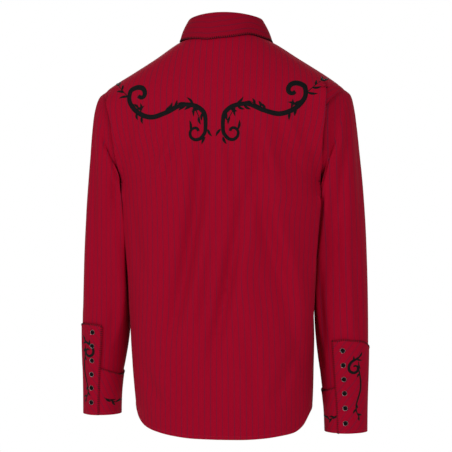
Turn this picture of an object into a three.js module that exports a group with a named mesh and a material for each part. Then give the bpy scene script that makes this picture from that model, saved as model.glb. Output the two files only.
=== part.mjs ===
import * as THREE from "three";

// Western snap shirt, filled out with no wearer. Sizes in mm.
// +Z is up, the front faces -Y and the wearer's left is +X.
// The origin is the middle of the neck opening, level with the side neck points.

const WALL = 1.5;
const SEAM_GAP = 0.3;
const LAID_ON = WALL + SEAM_GAP;
const SHOULDER_Z = -104;
const ARMPIT_Z = -290;
const TAIL_TOP_Z = -664;
const PLACKET_HALF = 17.5;
const SNAP_RADIUS = 4.8;
const SNAP_HEIGHT = 2.6;
const ARMHOLE_PULL = 1.1;

const cloth = new THREE.MeshStandardMaterial({ color: 0xa8202c, roughness: 0.82, metalness: 0 });
const snapMetal = new THREE.MeshStandardMaterial({ color: 0x1a191c, roughness: 0.25, metalness: 0.6 });

// Rings of the body. side: height at the side, half: half width, back and front: depths,
// rise and drop: how far the ring climbs at the back and falls at the front, power: squareness,
// shift: how far its sides stand over to the wearer's left.
const BODY_RINGS = [
  { side: 4, half: 71, back: 60, front: 53, rise: 10, drop: 76, power: 2.0, shift: -2 },
  { side: 0, half: 75, back: 62, front: 56, rise: 10, drop: 74, power: 2.0, shift: -2 },
  { side: -14, half: 101, back: 71, front: 62, rise: 9, drop: 67, power: 2.0, shift: -3 },
  { side: -42, half: 143, back: 87, front: 75, rise: 7, drop: 53, power: 2.05, shift: -4 },
  { side: -72, half: 191, back: 102, front: 89, rise: 4, drop: 38, power: 2.12, shift: -3 },
  { side: -90, half: 219, back: 110, front: 97, rise: 3, drop: 31, power: 2.16, shift: -1 },
  { side: -104, half: 237, back: 115, front: 102, rise: 2, drop: 25, power: 2.2, shift: 0 },
  { side: -118, half: 246, back: 119, front: 107, rise: 1, drop: 20, power: 2.25, shift: 0 },
  { side: -135, half: 248, back: 123, front: 112, rise: 0, drop: 14, power: 2.3, shift: 0 },
  { side: -152, half: 245, back: 127, front: 116, rise: 0, drop: 9, power: 2.35, shift: 0 },
  { side: -180, half: 238, back: 131, front: 121, rise: 0, drop: 4, power: 2.42, shift: 0 },
  { side: -220, half: 224, back: 135, front: 127, rise: 0, drop: 0, power: 2.5, shift: 0 },
  { side: -250, half: 210, back: 136, front: 130, rise: 0, drop: 0, power: 2.55, shift: 3 },
  { side: -290, half: 198, back: 137, front: 132, rise: 0, drop: 0, power: 2.6, shift: 6 },
  { side: -312, half: 194, back: 137, front: 133, rise: 0, drop: 0, power: 2.6, shift: 8 },
  { side: -350, half: 189, back: 136, front: 134, rise: 0, drop: 0, power: 2.65, shift: 8 },
  { side: -440, half: 183, back: 134, front: 132, rise: 0, drop: 0, power: 2.65, shift: 7 },
  { side: -520, half: 182, back: 132, front: 130, rise: 0, drop: 0, power: 2.6, shift: 6 },
  { side: -584, half: 182, back: 131, front: 129, rise: 0, drop: 0, power: 2.6, shift: 4 },
  { side: -650, half: 180, back: 130, front: 127, rise: 0, drop: 0, power: 2.5, shift: 3 },
  { side: -720, half: 176, back: 128, front: 124, rise: 0, drop: 0, power: 2.45, shift: 1 },
  { side: -790, half: 168, back: 125, front: 119, rise: 0, drop: 0, power: 2.4, shift: 0 },
];

// How far the armhole runs round to the back and the front, by height.
const ARMHOLE = [
  { side: -104, back: 2, front: -2 },
  { side: -108, back: 24, front: -20 },
  { side: -118, back: 45, front: -39 },
  { side: -135, back: 62, front: -54 },
  { side: -160, back: 71, front: -63 },
  { side: -190, back: 75, front: -67 },
  { side: -220, back: 71, front: -64 },
  { side: -248, back: 60, front: -55 },
  { side: -270, back: 43, front: -41 },
  { side: -284, back: 23, front: -23 },
  { side: -290, back: 2, front: -2 },
];

// The shoulder seam lies behind the ridge at the neck and meets it at the shoulder point.
const SHOULDER_SEAM = [
  { side: 0, back: 17 },
  { side: -30, back: 15 },
  { side: -72, back: 8 },
  { side: -104, back: 2 },
];

// Shirt-tail hem: height by how far out the point lies, 0 at the middle and 1 at the side seam.
// On the wearer's right it hangs a little lower at the side.
const HEM = [
  { out: 0, back: -784, front: -771, lower: 0 },
  { out: 0.3, back: -783, front: -770, lower: 1 },
  { out: 0.55, back: -779, front: -767, lower: 3 },
  { out: 0.74, back: -773, front: -762, lower: 5 },
  { out: 0.86, back: -766, front: -756, lower: 8 },
  { out: 0.94, back: -753, front: -745, lower: 10 },
  { out: 1, back: -728, front: -726, lower: 9 },
];

// The back's drape stands out over each sleeve, here by height of the ring.
const DRAPE = [
  { side: -200, left: 0, right: 0 },
  { side: -262, left: 1, right: 2 },
  { side: -292, left: 3, right: 9 },
  { side: -320, left: 5, right: 18 },
  { side: -350, left: 6, right: 21 },
  { side: -440, left: 6, right: 21 },
  { side: -520, left: 4, right: 16 },
  { side: -580, left: 1, right: 6 },
  { side: -640, left: 0, right: 0 },
];

// Soft folds down the body. x and z of the top, the middle and the foot, depth and half width.
const BACK_FOLDS = [
  { xTop: 27, zTop: -210, xMid: 62, zMid: -400, xFoot: 122, zFoot: -640, depth: 7, wide: 23 },
  { xTop: -40, zTop: -300, xMid: -18, zMid: -450, xFoot: 22, zFoot: -650, depth: 6, wide: 23 },
  { xTop: -55, zTop: -205, xMid: -84, zMid: -400, xFoot: -142, zFoot: -640, depth: 8, wide: 23 },
  { xTop: 112, zTop: -160, xMid: 134, zMid: -215, xFoot: 152, zFoot: -275, depth: 5, wide: 14 },
  { xTop: -102, zTop: -165, xMid: -122, zMid: -215, xFoot: -146, zFoot: -280, depth: 5, wide: 14 },
];
const FRONT_FOLDS = [
  { xTop: 60, zTop: -230, xMid: 84, zMid: -400, xFoot: 120, zFoot: -640, depth: 7, wide: 23 },
  { xTop: -52, zTop: -250, xMid: -78, zMid: -420, xFoot: -108, zFoot: -650, depth: 7, wide: 23 },
  { xTop: 120, zTop: -190, xMid: 132, zMid: -240, xFoot: 148, zFoot: -300, depth: 5, wide: 14 },
  { xTop: -118, zTop: -185, xMid: -130, zMid: -245, xFoot: -142, zFoot: -310, depth: 5, wide: 14 },
];

// Rings of each sleeve, from the armhole to the cuff's edge. The outer and inner point of a ring
// give its slope, mid its middle from front to back and deep its half depth.
const LEFT_SLEEVE = [
  { outX: 239, outZ: -104, inX: 205, inZ: -290, mid: 4, deep: 66 },
  { outX: 251, outZ: -115, inX: 207, inZ: -300, mid: 5, deep: 69 },
  { outX: 259, outZ: -140, inX: 205.2, inZ: -313, mid: 6, deep: 71 },
  { outX: 264, outZ: -176, inX: 203, inZ: -328, mid: 6, deep: 72 },
  { outX: 269, outZ: -226, inX: 200.4, inZ: -348, mid: 5, deep: 71 },
  { outX: 274, outZ: -286, inX: 197.6, inZ: -378, mid: 3, deep: 70 },
  { outX: 279, outZ: -350, inX: 194.8, inZ: -414, mid: 1, deep: 67 },
  { outX: 283, outZ: -415, inX: 192.6, inZ: -454, mid: -1, deep: 64 },
  { outX: 286, outZ: -480, inX: 191.4, inZ: -500, mid: -3, deep: 60 },
  { outX: 288.5, outZ: -545, inX: 191.6, inZ: -552, mid: -5, deep: 56 },
  { outX: 289.5, outZ: -600, inX: 196.5, inZ: -602, mid: -7, deep: 52 },
  { outX: 289, outZ: -645, inX: 204, inZ: -645, mid: -9, deep: 48 },
  { outX: 288, outZ: -670, inX: 209, inZ: -670, mid: -10, deep: 45 },
  { outX: 287.5, outZ: -710, inX: 213.5, inZ: -710, mid: -11, deep: 43 },
  { outX: 287.5, outZ: -752, inX: 215, inZ: -752, mid: -12, deep: 42 },
];
const RIGHT_SLEEVE = [
  { outX: 239, outZ: -104, inX: 192, inZ: -290, mid: 4, deep: 66 },
  { outX: 251, outZ: -116, inX: 196, inZ: -300, mid: 4, deep: 69 },
  { outX: 258, outZ: -142, inX: 195, inZ: -313, mid: 3, deep: 71 },
  { outX: 263, outZ: -179, inX: 190.5, inZ: -330, mid: 1, deep: 72 },
  { outX: 268, outZ: -230, inX: 187, inZ: -352, mid: -2, deep: 71 },
  { outX: 274, outZ: -290, inX: 183.5, inZ: -382, mid: -6, deep: 69 },
  { outX: 279, outZ: -355, inX: 180.8, inZ: -418, mid: -9, deep: 66 },
  { outX: 282, outZ: -420, inX: 179.2, inZ: -458, mid: -12, deep: 62 },
  { outX: 284, outZ: -490, inX: 178.8, inZ: -507, mid: -13, deep: 58 },
  { outX: 285, outZ: -560, inX: 181, inZ: -567, mid: -14, deep: 54 },
  { outX: 285, outZ: -622, inX: 186, inZ: -623, mid: -14, deep: 50 },
  { outX: 284, outZ: -668, inX: 191, inZ: -668, mid: -14, deep: 47 },
  { outX: 283, outZ: -697, inX: 194.5, inZ: -697, mid: -14, deep: 45 },
  { outX: 282, outZ: -737, inX: 199, inZ: -737, mid: -14, deep: 43.5 },
  { outX: 281.5, outZ: -781, inX: 201, inZ: -781, mid: -14, deep: 42.5 },
];

// Creases along the sleeves. turn is the angle round: 0 outside, 90 behind, 180 inside, 270 front.
const LEFT_CREASES = [
  { from: 3, to: 9, turnTop: 62, turnFoot: 76, depth: 5, wide: 15 },
  { from: 2, to: 6.5, turnTop: 120, turnFoot: 104, depth: 4, wide: 13 },
  { from: 2.5, to: 8.5, turnTop: 262, turnFoot: 276, depth: 5, wide: 15 },
  { from: 6, to: 9.2, turnTop: 142, turnFoot: 128, depth: 4, wide: 13 },
];
const RIGHT_CREASES = [
  { from: 2.5, to: 7, turnTop: 70, turnFoot: 98, depth: 5, wide: 15 },
  { from: 5, to: 9.2, turnTop: 108, turnFoot: 84, depth: 5, wide: 15 },
  { from: 7.5, to: 10.8, turnTop: 164, turnFoot: 150, depth: 4, wide: 12 },
  { from: 2.5, to: 8.5, turnTop: 266, turnFoot: 280, depth: 5, wide: 15 },
];

// Upper edge of the tall cuff piece, as height above the cuff's edge, by the angle round.
// The piece starts at its overlap edge behind and runs round the outside to the inner front.
const CUFF_TOP = [
  { turn: 100, tall: 181, under: 92 },
  { turn: 80, tall: 186, under: 92 },
  { turn: 50, tall: 186, under: 92 },
  { turn: 0, tall: 178, under: 92 },
  { turn: -45, tall: 154, under: 90 },
  { turn: -90, tall: 118, under: 88 },
  { turn: -130, tall: 94, under: 86 },
  { turn: -160, tall: 85, under: 85 },
  { turn: -220, tall: 85, under: 85 },
  { turn: -270, tall: 85, under: 96 },
];
const CUFFS = {
  left: { lap: 93, join: -150, snapTurn: 71, snapZ: [-583, -611, -641, -670, -698, -725] },
  right: { lap: 110, join: -150, snapTurn: 88, snapZ: [-616, -644, -673, -702, -731, -758] },
};

// Rings of the collar above the neck, as half width, depths and heights behind, beside, in front.
const COLLAR_RINGS = {
  foot: { half: 74.6, back: 61.6, front: 55.8, zBack: 11.4, zSide: 1.5, zFront: -72.2 },
  top: { half: 69, back: 57, front: 53, zBack: 38.7, zSide: 30.7, zFront: -46.3 },
  leaf: { half: 69, back: 57, front: 53, zBack: 39.6, zSide: 31.7, zFront: -45.1 },
  rise: { half: 69.6, back: 57.6, front: 53.6, zBack: 43.2, zSide: 35.4, zFront: -41.6 },
  fold: { half: 72, back: 60, front: 56, zBack: 45, zSide: 37.4, zFront: -39.8 },
  over: { half: 74.4, back: 62.6, front: 58.6, zBack: 43, zSide: 35, zFront: -42 },
};

const COLLAR_SHIFT = -2;

// Outer edge of the collar leaf over the body: angle on the collar from the middle of the back,
// and the body point under it. The last row is the collar point.
const LEAF_EDGE = [
  { turn: 0, angle: 90, side: -18, lift: 2.6 },
  { turn: 8, angle: 82, side: -17, lift: 2.6 },
  { turn: 30, angle: 60, side: -15, lift: 2.6 },
  { turn: 60, angle: 30, side: -11, lift: 2.6 },
  { turn: 85, angle: 3, side: -8.5, lift: 2.6 },
  { turn: 105, angle: -27, side: -15, lift: 3 },
  { turn: 125, angle: -46, side: -32, lift: 2.8 },
  { turn: 145, angle: -61, side: -56, lift: 2.6 },
  { turn: 158, angle: -68, side: -72, lift: 2.4 },
  { turn: 172, angle: -74, side: -86, lift: 2.2 },
];

const PLACKET_SNAP_Z = [-118, -223, -328, -433, -538, -643];

const rad = THREE.MathUtils.degToRad;

// Value of a table's column at a place between its rows, along a curve that doesn't overshoot.
function read(table, key, column, at) {
  const rising = table[table.length - 1][key] > table[0][key];
  const last = table.length - 1;
  const pos = rising ? at : -at;
  const place = (i) => (rising ? table[i][key] : -table[i][key]);
  if (pos <= place(0)) return table[0][column];
  if (pos >= place(last)) return table[last][column];
  let i = 0;
  while (pos > place(i + 1)) i += 1;
  const slope = (j) => (table[j + 1][column] - table[j][column]) / (place(j + 1) - place(j));
  const bend = (j) => {
    if (j === 0) return slope(0);
    if (j === last) return slope(last - 1);
    const a = slope(j - 1);
    const b = slope(j);
    return a * b <= 0 ? 0 : (2 * a * b) / (a + b);
  };
  const h = place(i + 1) - place(i);
  const t = (pos - place(i)) / h;
  const s = 1 - t;
  return (
    table[i][column] * s * s * (1 + 2 * t) +
    table[i + 1][column] * t * t * (3 - 2 * t) +
    h * t * s * (bend(i) * s - bend(i + 1) * t)
  );
}

// Depth of the folds at one place of the body: a trough with a low ridge on each side of it.
function foldDepth(folds, x, z) {
  let sum = 0;
  for (const f of folds) {
    const t = (f.zTop - z) / (f.zTop - f.zFoot);
    if (t <= 0 || t >= 1) continue;
    const line = f.xTop * (1 - t) * (1 - t) + 2 * t * (1 - t) * (2 * f.xMid - (f.xTop + f.xFoot) / 2)
      + f.xFoot * t * t;
    const d = Math.abs(x - line) / f.wide;
    const fade = Math.sin(Math.PI * t) ** 0.7;
    sum += f.depth * fade * (0.4 * Math.exp(-((d - 1.9) ** 2)) - Math.exp(-d * d));
  }
  return sum;
}

// A point of the body's middle surface, by angle (90 behind, -90 in front) and side height.
function bodyPoint(angle, side) {
  const c = Math.cos(rad(angle));
  const s = Math.sin(rad(angle));
  const power = 2 / read(BODY_RINGS, "side", "power", side);
  const half = read(BODY_RINGS, "side", "half", side);
  const deep = s >= 0 ? read(BODY_RINGS, "side", "back", side) : read(BODY_RINGS, "side", "front", side);
  const tilt = s >= 0 ? read(BODY_RINGS, "side", "rise", side) : -read(BODY_RINGS, "side", "drop", side);
  const x = half * Math.sign(c) * Math.abs(c) ** power;
  const clear = s >= 0 ? 1 : THREE.MathUtils.smoothstep(Math.abs(x), PLACKET_HALF + 2, 50);
  const fold = clear * foldDepth(s >= 0 ? BACK_FOLDS : FRONT_FOLDS, x, side);
  const y = Math.sign(s) * (deep * Math.abs(s) ** power + fold * Math.min(1, Math.abs(s) * 1.5));
  const z = side + tilt * s * s;
  const wing = s > 0 ? Math.sign(c) * read(DRAPE, "side", c > 0 ? "left" : "right", side) : 0;
  const u = Math.abs(90 - angle) / 90;
  const corner = s > 0 ? 17.5 * u ** 3 * Math.max(0, 1 - u) ** 1.5 : 0;
  const shift = read(BODY_RINGS, "side", "shift", side) * (1 - s * s);
  return new THREE.Vector3(x + wing * corner + shift, y, z);
}

// Angle on a ring where its depth from the middle is y.
function angleAtDepth(y, side) {
  const power = read(BODY_RINGS, "side", "power", side);
  const deep = read(BODY_RINGS, "side", y >= 0 ? "back" : "front", side);
  return THREE.MathUtils.radToDeg(Math.asin(Math.min(1, (Math.abs(y) / deep) ** (power / 2)))) * Math.sign(y);
}

function bodyNormal(angle, side) {
  const a = bodyPoint(angle + 0.5, side).sub(bodyPoint(angle - 0.5, side));
  const b = bodyPoint(angle, side - 0.5).sub(bodyPoint(angle, side + 0.5));
  return b.cross(a).normalize();
}

// Hem height under a point of a ring.
function hemHeight(angle) {
  const c = Math.cos(rad(angle));
  const out = Math.abs(c) ** 0.78;
  return read(HEM, "out", angle >= 0 ? "back" : "front", out) - (c < 0 ? read(HEM, "out", "lower", out) : 0);
}

// Side heights of the body's rows. Those past the tail's top are spread down to the hem.
const UPPER_ROWS = [
  0, -7, -14, -28, -42, -57, -72, -88, -104, -108, -118, -135, -160, -190, -220, -248, -270, -284, -290,
  -320, -360, -405, -450, -495, -540, -582, -624, -664,
];
const TAIL_ROWS = [0.3, 0.62, 0.86, 1];

function rowHeight(row, angle) {
  if (row < UPPER_ROWS.length) return UPPER_ROWS[row];
  return TAIL_TOP_Z + TAIL_ROWS[row - UPPER_ROWS.length] * (hemHeight(angle) - TAIL_TOP_Z);
}

// Depth at which a row of a back or front panel ends: shoulder seam, armhole or side seam.
function rowEdge(side, column) {
  if (side > SHOULDER_Z) return read(SHOULDER_SEAM, "side", "back", side);
  if (side >= ARMPIT_Z) return read(ARMHOLE, "side", column, side);
  return column === "back" ? 1e-3 : -1e-3;
}

// Angles spread evenly along a ring between two angles, each end drawn in by a short length.
function spread(from, to, count, side, pullFrom, pullTo) {
  const fine = 160;
  const lengths = [0];
  const at = (i) => from + ((to - from) * i) / fine;
  let before = bodyPoint(at(0), side);
  for (let i = 1; i <= fine; i += 1) {
    const next = bodyPoint(at(i), side);
    lengths.push(lengths[i - 1] + next.distanceTo(before));
    before = next;
  }
  const angles = [];
  let i = 0;
  for (let j = 0; j <= count; j += 1) {
    const goal = pullFrom + ((lengths[fine] - pullFrom - pullTo) * j) / count;
    while (i < fine - 1 && lengths[i + 1] < goal) i += 1;
    const part = (goal - lengths[i]) / Math.max(1e-9, lengths[i + 1] - lengths[i]);
    angles.push(at(i + part));
  }
  return angles;
}

// Unit normals of a grid of points, pointing away from the line or place given by inside().
function gridNormals(grid, closed, inside) {
  const rows = grid.length;
  const cols = grid[0].length;
  let sum = 0;
  const normals = grid.map((line, r) =>
    line.map((p, c) => {
      const up = grid[Math.max(0, r - 1)][c];
      const down = grid[Math.min(rows - 1, r + 1)][c];
      const left = closed ? line[(c - 1 + cols) % cols] : line[Math.max(0, c - 1)];
      const right = closed ? line[(c + 1) % cols] : line[Math.min(cols - 1, c + 1)];
      const n = right.clone().sub(left).cross(down.clone().sub(up)).normalize();
      sum += Math.sign(n.dot(p.clone().sub(inside(p))));
      return n;
    }),
  );
  if (sum < 0) normals.forEach((line) => line.forEach((n) => n.negate()));
  return normals;
}

// A closed wall on a grid of points, between two distances along the normals.
// closed joins the last column to the first. The distances may be functions of row and column.
function wall(name, grid, normals, low, high, closed, material = cloth) {
  const rows = grid.length;
  const cols = grid[0].length;
  const points = [];
  for (const level of [high, low]) {
    grid.forEach((line, r) =>
      line.forEach((p, c) => {
        const by = typeof level === "function" ? level(r, c) : level;
        const q = p.clone().addScaledVector(normals[r][c], by);
        points.push(q.x, q.y, q.z);
      }),
    );
  }
  const outer = (r, c) => r * cols + (c % cols);
  const inner = (r, c) => rows * cols + outer(r, c);
  const faces = [];
  const quad = (a, b, c, d) => faces.push(a, b, c, a, c, d);
  const across = closed ? cols : cols - 1;
  for (let r = 0; r < rows - 1; r += 1) {
    for (let c = 0; c < across; c += 1) {
      quad(outer(r, c), outer(r + 1, c), outer(r + 1, c + 1), outer(r, c + 1));
      quad(inner(r, c), inner(r, c + 1), inner(r + 1, c + 1), inner(r + 1, c));
    }
  }
  for (let c = 0; c < across; c += 1) {
    quad(outer(0, c), outer(0, c + 1), inner(0, c + 1), inner(0, c));
    quad(outer(rows - 1, c + 1), outer(rows - 1, c), inner(rows - 1, c), inner(rows - 1, c + 1));
  }
  if (!closed) {
    for (let r = 0; r < rows - 1; r += 1) {
      quad(outer(r + 1, 0), outer(r, 0), inner(r, 0), inner(r + 1, 0));
      quad(outer(r, cols - 1), outer(r + 1, cols - 1), inner(r + 1, cols - 1), inner(r, cols - 1));
    }
  }
  let volume = 0;
  const at = (i) => new THREE.Vector3(points[3 * i], points[3 * i + 1], points[3 * i + 2]);
  for (let i = 0; i < faces.length; i += 3) {
    volume += at(faces[i]).dot(at(faces[i + 1]).cross(at(faces[i + 2])));
  }
  if (volume < 0) {
    for (let i = 0; i < faces.length; i += 3) [faces[i + 1], faces[i + 2]] = [faces[i + 2], faces[i + 1]];
  }
  const geometry = new THREE.BufferGeometry();
  geometry.setAttribute("position", new THREE.Float32BufferAttribute(points, 3));
  geometry.setIndex(faces);
  geometry.computeVertexNormals();
  const mesh = new THREE.Mesh(geometry, material);
  mesh.name = name;
  return mesh;
}

const shirt = new THREE.Group();
shirt.name = "western_snap_shirt";
const HALF_WALL = WALL / 2;
const bodyAxis = (p) => new THREE.Vector3(p.x * 0.2, 0, p.z - 40);

// A body panel: rows from the neck to the hem between two ends, which give the angle of each row.
function bodyPanel(name, columns, fromAngle, toAngle, pullFrom, pullTo) {
  const grid = [];
  for (let row = 0; row < UPPER_ROWS.length + TAIL_ROWS.length; row += 1) {
    const side = row < UPPER_ROWS.length ? UPPER_ROWS[row] : Math.max(rowHeight(row, 0), -726);
    const angles = spread(fromAngle(side), toAngle(side), columns, side, pullFrom(side), pullTo(side));
    grid.push(angles.map((angle) => bodyPoint(angle, rowHeight(row, angle))));
  }
  return wall(name, grid, gridNormals(grid, false, bodyAxis), -HALF_WALL, HALF_WALL, false);
}

const atArmhole = (side) => side <= SHOULDER_Z && side >= ARMPIT_Z;
const seamPull = (side) => (atArmhole(side) ? ARMHOLE_PULL : SEAM_GAP / 2);
const backLeftEnd = (side) => angleAtDepth(rowEdge(side, "back"), side);
const frontLeftEnd = (side) =>
  side > SHOULDER_Z ? angleAtDepth(rowEdge(side, "back"), side) : angleAtDepth(rowEdge(side, "front"), side);

shirt.add(bodyPanel("back", 28, backLeftEnd, (side) => 180 - backLeftEnd(side), seamPull, seamPull));
shirt.add(bodyPanel("front_left", 12, frontLeftEnd, () => -90, seamPull, () => SEAM_GAP / 2));
shirt.add(bodyPanel("front_right", 12, (side) => -180 - frontLeftEnd(side), () => -90, seamPull, () => SEAM_GAP / 2));

// Angle on the front of a ring at a distance x from the middle.
function frontAngle(x, side) {
  const power = read(BODY_RINGS, "side", "power", side);
  const half = read(BODY_RINGS, "side", "half", side);
  const c = Math.sign(x) * (Math.abs(x) / half) ** (power / 2);
  return -THREE.MathUtils.radToDeg(Math.acos(c));
}

// Placket band over both front edges, from the neck seam to the hem.
const bandGrid = [];
for (let row = 0; row < UPPER_ROWS.length + TAIL_ROWS.length; row += 1) {
  const line = [];
  for (let c = -2; c <= 2; c += 1) {
    const x = (c * PLACKET_HALF) / 2;
    const side = rowHeight(row, -90);
    line.push(bodyPoint(frontAngle(x, side), side));
  }
  bandGrid.push(line);
}
const bandNormals = gridNormals(bandGrid, false, bodyAxis);
shirt.add(wall("placket", bandGrid, bandNormals, HALF_WALL + SEAM_GAP, HALF_WALL + SEAM_GAP + WALL, false));

// A domed press snap, turned about its axis, at a place on a piece and facing its normal.
function snap(name, place, normal) {
  const r = SNAP_RADIUS;
  const h = SNAP_HEIGHT;
  const profile = [
    new THREE.Vector2(0, 0),
    new THREE.Vector2(r - 0.4, 0),
    new THREE.Vector2(r, 0.5),
    new THREE.Vector2(r * 0.86, h * 0.62),
    new THREE.Vector2(r * 0.5, h * 0.93),
    new THREE.Vector2(0, h),
  ];
  const mesh = new THREE.Mesh(new THREE.LatheGeometry(profile, 10), snapMetal);
  mesh.name = name;
  mesh.quaternion.setFromUnitVectors(new THREE.Vector3(0, 1, 0), normal);
  mesh.position.copy(place);
  return mesh;
}

PLACKET_SNAP_Z.forEach((z, i) => {
  let side = z;
  for (let step = 0; step < 30; step += 1) side += z - bodyPoint(-90, side).z;
  const normal = bodyNormal(-90, side);
  const on = bodyPoint(-90, side).addScaledVector(normal, HALF_WALL + 2 * SEAM_GAP + WALL);
  shirt.add(snap(`snap_front_${i + 1}`, on, normal));
});

// A ring point of the collar, by the angle from the middle of the back, + to the wearer's left.
function collarPoint(ring, turn) {
  const a = rad(90 - turn);
  const s = Math.sin(a);
  const z = ring.zSide + (s >= 0 ? ring.zBack - ring.zSide : ring.zFront - ring.zSide) * s * s;
  return new THREE.Vector3(ring.half * Math.cos(a) + COLLAR_SHIFT, (s >= 0 ? ring.back : ring.front) * s, z);
}

const collarAxis = (p) => new THREE.Vector3(0, 0, p.z - 5);
const STAND_COLUMNS = 30;
const standGrid = [0, 0.5, 1].map((t) => {
  const line = [];
  for (let c = 0; c <= STAND_COLUMNS; c += 1) {
    const turn = -179 + (358 * c) / STAND_COLUMNS;
    line.push(collarPoint(COLLAR_RINGS.foot, turn).lerp(collarPoint(COLLAR_RINGS.top, turn), t));
  }
  return line;
});
shirt.add(wall("collar_stand", standGrid, gridNormals(standGrid, false, collarAxis), -HALF_WALL, HALF_WALL, false));

// Place of the collar leaf's outer edge for one column.
function leafEdge(turn) {
  const t = Math.abs(turn);
  const angle = read(LEAF_EDGE, "turn", "angle", t);
  const side = read(LEAF_EDGE, "turn", "side", t);
  const lift = read(LEAF_EDGE, "turn", "lift", t);
  const way = turn < 0 ? 180 - angle : angle;
  return bodyPoint(way, side).addScaledVector(bodyNormal(way, side), lift);
}

const LEAF_COLUMNS = 32;
const LEAF_DOWN = [0.12, 0.32, 0.55, 0.78, 1];
const leafGrid = [];
for (const ring of ["leaf", "rise", "fold", "over"]) {
  const line = [];
  for (let c = 0; c <= LEAF_COLUMNS; c += 1) {
    line.push(collarPoint(COLLAR_RINGS[ring], -172 + (344 * c) / LEAF_COLUMNS));
  }
  leafGrid.push(line);
}
for (const t of LEAF_DOWN) {
  leafGrid.push(
    leafGrid[3].map((top, c) => {
      const edge = leafEdge(-172 + (344 * c) / LEAF_COLUMNS);
      const out = new THREE.Vector3(top.x, top.y, 0).normalize().multiplyScalar(2.2 * Math.sin(Math.PI * t));
      return top.clone().lerp(edge, t).add(out);
    }),
  );
}
const leafCore = (p) => new THREE.Vector3(p.x * 0.9, p.y * 0.9, p.z < 36 - Math.abs(p.y - 60) ? p.z - 3 : p.z);
const leafNormals = gridNormals(leafGrid, false, leafCore);
shirt.add(wall("collar_leaf", leafGrid, leafNormals, -HALF_WALL, HALF_WALL, false));

const mirrored = (p) => new THREE.Vector3(-p.x, p.y, p.z);

// The armhole of one side as a closed line, from the shoulder point down the back and up the front.
// Both are worked out as the wearer's left, and the right one is mirrored when it is used.
function armholeLine(side) {
  const down = ARMHOLE.map((row) => [angleAtDepth(row.back, row.side), row.side]);
  const up = ARMHOLE.map((row) => [angleAtDepth(row.front, row.side), row.side]).reverse();
  return [...down, ...up].map(([angle, height]) => {
    const p = bodyPoint(side > 0 ? angle : 180 - angle, height);
    return side > 0 ? p : mirrored(p);
  });
}

const LEFT_ARMHOLE = armholeLine(1);
const RIGHT_ARMHOLE = armholeLine(-1);

// A point of a sleeve ring, by the angle round. Ring 0 is the armhole line itself.
function ringPoint(rings, k, turn) {
  const armhole = rings === LEFT_SLEEVE ? LEFT_ARMHOLE : RIGHT_ARMHOLE;
  const ring = rings[k];
  const outer = new THREE.Vector3(ring.outX, ring.mid, ring.outZ);
  const inner = new THREE.Vector3(ring.inX, ring.mid, ring.inZ);
  const middle = outer.clone().lerp(inner, 0.5);
  const along = outer.clone().sub(inner);
  const long = along.length() / 2;
  along.normalize();
  if (k > 0) {
    return middle
      .addScaledVector(along, long * Math.cos(rad(turn)))
      .add(new THREE.Vector3(0, ring.deep * Math.sin(rad(turn)), 0));
  }
  const way = ((turn % 360) + 360) % 360;
  const angles = armhole.map((p) => {
    const d = p.clone().sub(middle);
    const a = THREE.MathUtils.radToDeg(Math.atan2(d.y / ring.deep, d.dot(along) / long));
    return a < 0 ? a + 360 : a;
  });
  for (let i = 0; i < armhole.length; i += 1) {
    const j = (i + 1) % armhole.length;
    const span = (angles[j] - angles[i] + 360) % 360;
    const here = (way - angles[i] + 360) % 360;
    if (here <= span) return armhole[i].clone().lerp(armhole[j], span > 0 ? here / span : 0);
  }
  return armhole[0].clone();
}

function creaseDepth(creases, t, turn) {
  let sum = 0;
  for (const f of creases) {
    const along = (t - f.from) / (f.to - f.from);
    if (along <= 0 || along >= 1) continue;
    const line = f.turnTop + (f.turnFoot - f.turnTop) * along;
    const away = Math.abs(((turn - line + 540) % 360) - 180) / f.wide;
    const fade = Math.sin(Math.PI * along) ** 0.7;
    sum += f.depth * fade * (0.35 * Math.exp(-((away - 1.9) ** 2)) - Math.exp(-away * away));
  }
  return sum;
}

// A point of a sleeve between its rings, on a smooth curve through them.
function sleevePoint(rings, t, turn) {
  const k = Math.min(rings.length - 2, Math.floor(t));
  const u = t - k;
  const p = [k - 1, k, k + 1, k + 2].map((j) =>
    ringPoint(rings, Math.max(0, Math.min(rings.length - 1, j)), turn),
  );
  if (k === 0) p[0].copy(p[1]).multiplyScalar(2).sub(p[2]);
  const blend = (key) => {
    const [a, b, c, d] = p.map((q) => q[key]);
    return b + 0.5 * u * (c - a + u * (2 * a - 5 * b + 4 * c - d + u * (3 * (b - c) + d - a)));
  };
  return new THREE.Vector3(blend("x"), blend("y"), blend("z"));
}

// The place along the sleeve at a height of its outer edge.
function sleeveAt(rings, z) {
  let k = 0;
  while (k < rings.length - 2 && rings[k + 1].outZ > z) k += 1;
  return k + (rings[k].outZ - z) / (rings[k].outZ - rings[k + 1].outZ);
}

// Start of the sleeve at a point of the armhole. Where the sleeve goes straight on from the body it
// meets the panel's edge, and where it turns back under the arm it starts clear of the panel's face.
function capStart(p, next, ring, side) {
  const way = next.clone().sub(p).normalize();
  const angle = angleAtDepth(p.y, p.z);
  const normal = side > 0 ? bodyNormal(angle, p.z) : mirrored(bodyNormal(180 - angle, p.z));
  const middle = new THREE.Vector3((ring.outX + ring.inX) / 2, ring.mid, (ring.outZ + ring.inZ) / 2);
  const into = middle.sub(p);
  into.addScaledVector(normal, -into.dot(normal)).normalize();
  const turned = THREE.MathUtils.radToDeg(Math.atan2(way.dot(normal), way.dot(into)));
  const back = THREE.MathUtils.smoothstep(turned, 65, 100);
  const ahead = Math.max(0, 0.75 * Math.sin(rad(turned)) - 0.4);
  const off = HALF_WALL + 3 * SEAM_GAP + HALF_WALL * Math.max(0, -Math.cos(rad(turned)));
  return p.clone().addScaledVector(into, ahead * (1 - back)).addScaledVector(normal, off * back);
}
const SLEEVE_COLUMNS = 24;
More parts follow.
